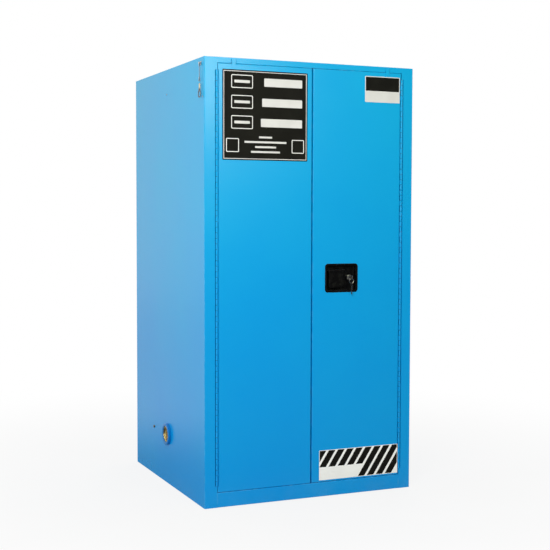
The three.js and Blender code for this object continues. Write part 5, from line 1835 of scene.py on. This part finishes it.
@dataclass
class Signs:
    """The plates on the doors. They carry plain bars and stripes, and no words."""

    bench: Bench
    ink: Layer = (0.7 * MM, 0.76 * MM)
    box_line: float = 2.6 * MM
    stripe_pitch: float = 39.7
    stripe_width: float = 28.6
    stripe_slope: float = 0.65
    stripe_foot: float = 113.0
    face: float = field(init=False)

    def build(self) -> None:
        """Fixes the tall plate, the small plate and the striped film."""
        self.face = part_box("left_door_skin")[0].y
        self.tall_plate()
        self.small_plate()
        self.striped_film()

    def plate(
        self, name: str, outline: RoundedRectangle, rows: Any, body: str, slot: str, finish: Finish
    ) -> None:
        """Makes a plate whose front edge is eased.

        Args:
            name: The piece's name.
            outline: The plate's outline.
            rows: Each row's inset and its height off the door, in millimetres.
            body: The body that carries it.
            slot: The record's material slot.
            finish: Its ink.
        """
        inset, height = (np.array(rows) * MM).T
        shell = Shell().grid(in_space(outline.loop(inset), self.face - height[:, None], Axis.Y))
        self.bench.fit(shell.made(name), body, slot, finish)

    def film(
        self,
        name: str,
        outlines: Sequence[Array],
        body: str,
        finish: Finish,
        depth: Layer,
        slot: str = "black_paint",
    ) -> None:
        """Makes flat film from one or more outlines in X and Z.

        Args:
            name: The piece's name.
            outlines: The outlines, each n by 2.
            body: The body that carries it.
            finish: Its ink.
            depth: How far its back and its face stand off the door.
            slot: The record's material slot.
        """
        back, front = depth
        shell = Shell()
        for outline in outlines:
            shell.run(outline, self.face - front, self.face - back, Axis.Y)
        self.bench.fit(shell.made(name), body, slot, finish, shade_evenly=False)

    def frame_line(self, name: str, outline: RoundedRectangle, width: float, inset: float = 0.0) -> None:
        """Makes a thin line that runs round an outline on the tall plate.

        Args:
            name: The piece's name.
            outline: The outline.
            width: The line's width.
            inset: How far inside the outline the line starts.
        """
        back, front = self.ink
        insets = np.array([inset, inset + width, inset + width, inset])
        y = self.face - np.array([[front], [front], [back], [back]])
        shell = Shell().grid(in_space(outline.loop(insets, 6), y, Axis.Y), ring=True)
        white = self.bench.finishes.white_film
        self.bench.fit(shell.made(name), "left_door", "tray_plastic", white, shade_evenly=False)

    def tall_plate(self) -> None:
        """The black plate on the left door: a light rim and three rows of plain bars above four thin ones."""
        finishes = self.bench.finishes
        outline = rectangle_mm(-362.5, -21.5, 1281, 1609, 3)
        edge = [[0.0, 0.05], [0.0, 0.45], [0.25, 0.7]]
        self.plate("tall_plate", outline, edge, "left_door", "black_paint", finishes.black_film)
        self.frame_line("tall_plate_rim", outline, 1.8 * MM, 4.5 * MM)
        bars = []
        for row, left in enumerate((-198, -206, -211)):
            middle = 1567 - 74 * row
            bars.append(rectangle_mm(left, -44, middle - 15, middle + 15, 3))
            bars.append(rectangle_mm(-316, -255, middle - 5, middle + 5, 2))
            box = rectangle_mm(-328, -243, middle - 24, middle + 24, 5)
            self.frame_line(f"row_box_{row + 1}", box, self.box_line)
        for row, half in enumerate((26, 84, 42, 58)):
            middle = 1366 - 18 * row
            bars.append(rectangle_mm(-192 - half, -192 + half, middle - 3.4, middle + 3.4, 1))
        outlines = [bar.loop(0)[0] for bar in bars]
        self.film("tall_plate_bars", outlines, "left_door", finishes.plate_white, self.ink, "tray_plastic")
        for name, left in (("left_square", -348), ("right_square", -86)):
            square = rectangle_mm(left, left + 50, 1310, 1360, 4)
            self.frame_line(f"tall_plate_{name}", square, self.box_line)

    def small_plate(self) -> None:
        """The small plate on the right door: a black band over a white one, inside a fine rim."""
        finishes = self.bench.finishes
        outline = rectangle_mm(222, 374, 1514, 1613, 2.5)
        edge = [[0.0, 0.05], [0.0, 0.35], [0.2, 0.55]]
        self.plate("small_plate", outline, edge, "right_door", "tray_plastic", finishes.plate_white)
        band = rectangle_mm(225, 371, 1557, 1610, 1.2).loop(0)[0]
        self.film("small_plate_band", [band], "right_door", finishes.black_film, (0.55 * MM, 0.6 * MM))

    def striped_film(self) -> None:
        """The film at the foot of the right door: slanted black stripes on white, and a bare white band.

        In words: the stripes start one pitch apart and lean by the slope. The first six stand on the bare band,
        the others on the film's lower edge, and all of them are cut at the film's sides.
        """
        finishes = self.bench.finishes
        left, right, bottom, top = 34.0, 377.0, 63.0, 178.5
        margin, width = 2.0, self.stripe_width
        sheet = rectangle_mm(left, right, bottom, top, 1.5).loop(0)[0]
        white = (0.05 * MM, 0.3 * MM)
        self.film("striped_film", [sheet], "right_door", finishes.white_film, white, "tray_plastic")
        outlines = []
        for number in range(-1, 9):
            low, high = self.stripe_foot if number < 5 else bottom + margin, top - margin
            start = left + self.stripe_pitch * number
            foot, head = (start + self.stripe_slope * (z - self.stripe_foot) for z in (low, high))
            stripe = np.array([[foot, low], [foot + width, low], [head + width, high], [head, high]])
            stripe = clipped(stripe, left + margin, right - margin)
            if len(stripe) > 2:
                outlines.append(stripe * MM)
        self.film("film_stripes", outlines, "right_door", finishes.black_film, (0.3 * MM, 0.34 * MM))


def clipped(points: Array, least: float, most: float) -> Array:
    """Cuts an outline at a least and a greatest first coordinate.

    In words: each edge that crosses a limit is parted there, and what lies past the limit is left out.

    Args:
        points: The outline, n by 2.
        least: The least first coordinate.
        most: The greatest first coordinate.

    Returns:
        The cut outline.
    """
    for sign, limit in ((1, most), (-1, -least)):
        along = points[:, 0] * sign
        following = np.roll(points, -1, axis=0)
        further = following[:, 0] * sign
        inside, crosses = along <= limit, (along <= limit) != (further <= limit)
        share = np.where(crosses, (limit - along) / np.where(crosses, further - along, 1), 0)
        parted = points + share[:, None] * (following - points)
        kept = np.stack([points, parted], axis=1).reshape(-1, 2)
        points = kept[np.stack([inside, crosses], axis=1).reshape(-1)]
    return points


# The studio


@dataclass
class Studio:
    """A pale floor, a white surround, soft lamps and the camera."""

    eye: Place = (-1.8156, -4.2547, 1.0858)
    yaw: float = 23.512
    pitch: float = 3.147
    roll: float = 0.145
    focal_pixels: float = 1118.5
    frame_pixels: float = 550.0
    sensor: float = 36.0
    ambient: float = 0.275
    seen_white: tuple[float, float, float, float] = (0.5, 2.6, 0.86, 1.0)
    # How the floor looks to reflections: dim near the cabinet as a painted shadow, lighter farther off.
    mirrored_white: tuple[float, float, float, float] = (0.45, 1.9, 0.2, 0.8)

    def build(self) -> None:
        """Sets the view up and builds the floor, the surround, the lamps and the camera."""
        scene = bpy.context.scene
        scene.view_settings.view_transform = "Standard"
        self.surround()
        self.floor()
        warm, yellow = (1.0, 1.0, 0.82), (1.0, 1.0, 0.7)
        self.lamp("key_lamp", (-1.9, -2.9, 2.35), (-0.2, -0.3, 1.4), 1.3, 79.0, WHITE, False)
        self.lamp("side_lamp", (-4.2, 0.2, 1.2), (-0.4, 0.0, 0.7), 2.4, 52.0, warm)
        self.lamp("front_lamp", (0.78, -4.5, 2.17), (-0.1, -0.4, 1.3), 0.8, 42.0, yellow)
        self.lamp("top_lamp", (0.3, 0.6, 4.2), (0.0, 0.0, 0.8), 2.6, 50.0, WHITE)
        self.lamp("back_lamp", (2.9, 3.3, 2.3), (0.2, 0.2, 0.9), 2.0, 62.0, WHITE, False)
        self.dark_card()
        self.camera()

    def surround(self) -> None:
        """A white surround for the camera and for reflections, and a softer one for the light it gives."""
        world = bpy.data.worlds.new("surround")
        bpy.context.scene.world = world
        graph = opened(world)
        rays = graph.node("LightPath")
        seen = graph.math("MAXIMUM", rays.outputs["Is Camera Ray"], rays.outputs["Is Glossy Ray"])
        seen = graph.math("MAXIMUM", seen, rays.outputs["Is Transmission Ray"])
        strength = graph.node("MapRange")
        for socket, value in zip(strength.inputs, (seen, 0.0, 1.0, self.ambient, 1.0)):
            graph.feed(socket, value)
        background = graph.node("Background", color=WHITE, strength=strength.outputs[0])
        graph.close(background.outputs[0], "OutputWorld")

    def floor(self) -> None:
        """A wide floor that takes the shadow near the cabinet and turns as white as the surround farther off.

        In words: what the camera sees goes from mostly white to all white between two distances from the
        origin, and what a glossy piece mirrors goes from dim to light between two others, a painted shadow
        of the cabinet on the floor as reflections see it.
        """
        reach = np.linspace(-9.0, 9.0, 37)
        x, y = np.meshgrid(reach, reach)
        points = np.stack([x, y, np.zeros_like(x)], axis=-1)
        count = len(reach)
        index = np.arange(count * count).reshape(count, count)
        quads = np.stack([index[:-1, :-1], index[:-1, 1:], index[1:, 1:], index[1:, :-1]], axis=-1)
        mesh = bpy.data.meshes.new("floor")
        mesh.from_pydata(points.reshape(-1, 3).tolist(), [], quads.reshape(-1, 4).tolist())
        made = bpy.data.materials.new("floor")
        graph = opened(made)
        place = graph.object_place()
        tone = graph.ramp(graph.noise(place, 3.0, 4.0), 0.3, 0.7)
        shade = graph.node("BsdfDiffuse", color=graph.blend(tone, (0.56, 0.56, 0.56), (0.59, 0.59, 0.59)))
        away = graph.vector("LENGTH", place).outputs["Value"]
        rays = graph.node("LightPath")
        glossy = rays.outputs["Is Glossy Ray"]
        seen = graph.math("MAXIMUM", rays.outputs["Is Camera Ray"], rays.outputs["Is Transmission Ray"])
        in_view = graph.math("MULTIPLY", seen, graph.ramp(away, *self.seen_white))
        # Painted shadow: reflections see the floor dim near the cabinet and lighter farther off.
        mirrored = graph.math("MULTIPLY", glossy, graph.ramp(away, *self.mirrored_white))
        glow = graph.math("ADD", graph.math("SUBTRACT", 1.0, glossy), mirrored)
        white = graph.node("Emission", color=WHITE, strength=glow)
        mix = graph.node("MixShader")
        graph.feed(mix.inputs[0], graph.math("MAXIMUM", in_view, glossy))
        graph.feed(mix.inputs[1], shade.outputs[0])
        graph.feed(mix.inputs[2], white.outputs[0])
        graph.close(mix.outputs[0])
        mesh.materials.append(made)
        placed("floor", mesh)

    def lamp(
        self,
        name: str,
        place: Sequence[float],
        target: Sequence[float],
        size: float,
        power: float,
        tint: Colour,
        mirrored: bool = True,
    ) -> None:
        """Adds a square soft lamp that faces a target.

        Args:
            name: The lamp's name.
            place: Where the lamp stands.
            target: The point that it faces.
            size: The length of its side.
            power: Its power in watts.
            tint: The colour of its light.
            mirrored: Glossy pieces show its reflection.
        """
        light = bpy.data.lights.new(name, "AREA")
        light.shape = "SQUARE"
        light.color = tint
        light.size = size
        light.energy = power
        piece = placed(name, light)
        direction = Vector(target) - Vector(place)
        turn = direction.to_track_quat("-Z", "Y").to_matrix().to_4x4()
        piece.matrix_world = Matrix.Translation(Vector(place)) @ turn
        piece.visible_camera = False
        piece.visible_glossy = mirrored

    def dark_card(self) -> None:
        """The dim side of the studio, which only reflections see: a cloth on the floor and up the far wall."""
        side_view = np.array([[-0.8, 0.01], [-5.6, 0.01], [-5.6, 5.5]])
        corners = [[x, y, z] for y, z in side_view for x in (-3.2, 6.5)]
        mesh = bpy.data.meshes.new("dark_card")
        mesh.from_pydata(corners, [], [[0, 1, 3, 2], [2, 3, 5, 4]])
        made = bpy.data.materials.new("dark_card")
        graph = opened(made)
        graph.close(graph.node("Emission", color=(0.02, 0.024, 0.03), strength=1.0).outputs[0])
        mesh.materials.append(made)
        piece = placed("dark_card", mesh)
        piece.visible_camera = False
        piece.visible_diffuse = False
        piece.visible_shadow = False

    def camera(self) -> None:
        """Sets the camera where the photograph was taken from.

        In words: yaw turns the view from straight ahead to the right, pitch dips it, and roll tilts it. The
        lens is the focal length in pixels times the sensor's width over the frame's width.
        """
        yaw, pitch, roll = (math.radians(angle) for angle in (self.yaw, self.pitch, self.roll))
        ahead = np.array([math.sin(yaw), math.cos(yaw), 0.0])
        forward = math.cos(pitch) * ahead - math.sin(pitch) * ALONG_Z
        level = np.array([math.cos(yaw), -math.sin(yaw), 0.0])
        up = np.cross(level, forward)
        right = math.cos(roll) * level + math.sin(roll) * up
        up = -math.sin(roll) * level + math.cos(roll) * up
        data = bpy.data.cameras.new("camera")
        data.sensor_fit = "HORIZONTAL"
        data.sensor_width = self.sensor
        data.lens = self.sensor * self.focal_pixels / self.frame_pixels
        piece = placed("camera", data)
        turn = np.eye(4)
        turn[:3] = np.stack([right, up, -forward, self.eye], axis=1)
        piece.matrix_world = Matrix(turn.tolist())
        bpy.context.scene.camera = piece


def main() -> None:
    """Builds the studio and every sub-assembly."""
    logging.basicConfig(level=logging.INFO, format="%(name)s: %(message)s")
    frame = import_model()
    Studio().build()
    bench = Bench(frame["nodes"])
    OuterShell(bench).build()
    InnerBox(bench).build()
    for side in Side:
        FoldedDoor(bench, side).build()
        PianoHinge(bench, side).build()
        VentPort(bench, side).build()
        LinkSet(bench, side).build()
    LatchSet(bench).build()
    GroundScrew(bench).build()
    Signs(bench).build()


if __name__ == "__main__":
    main()
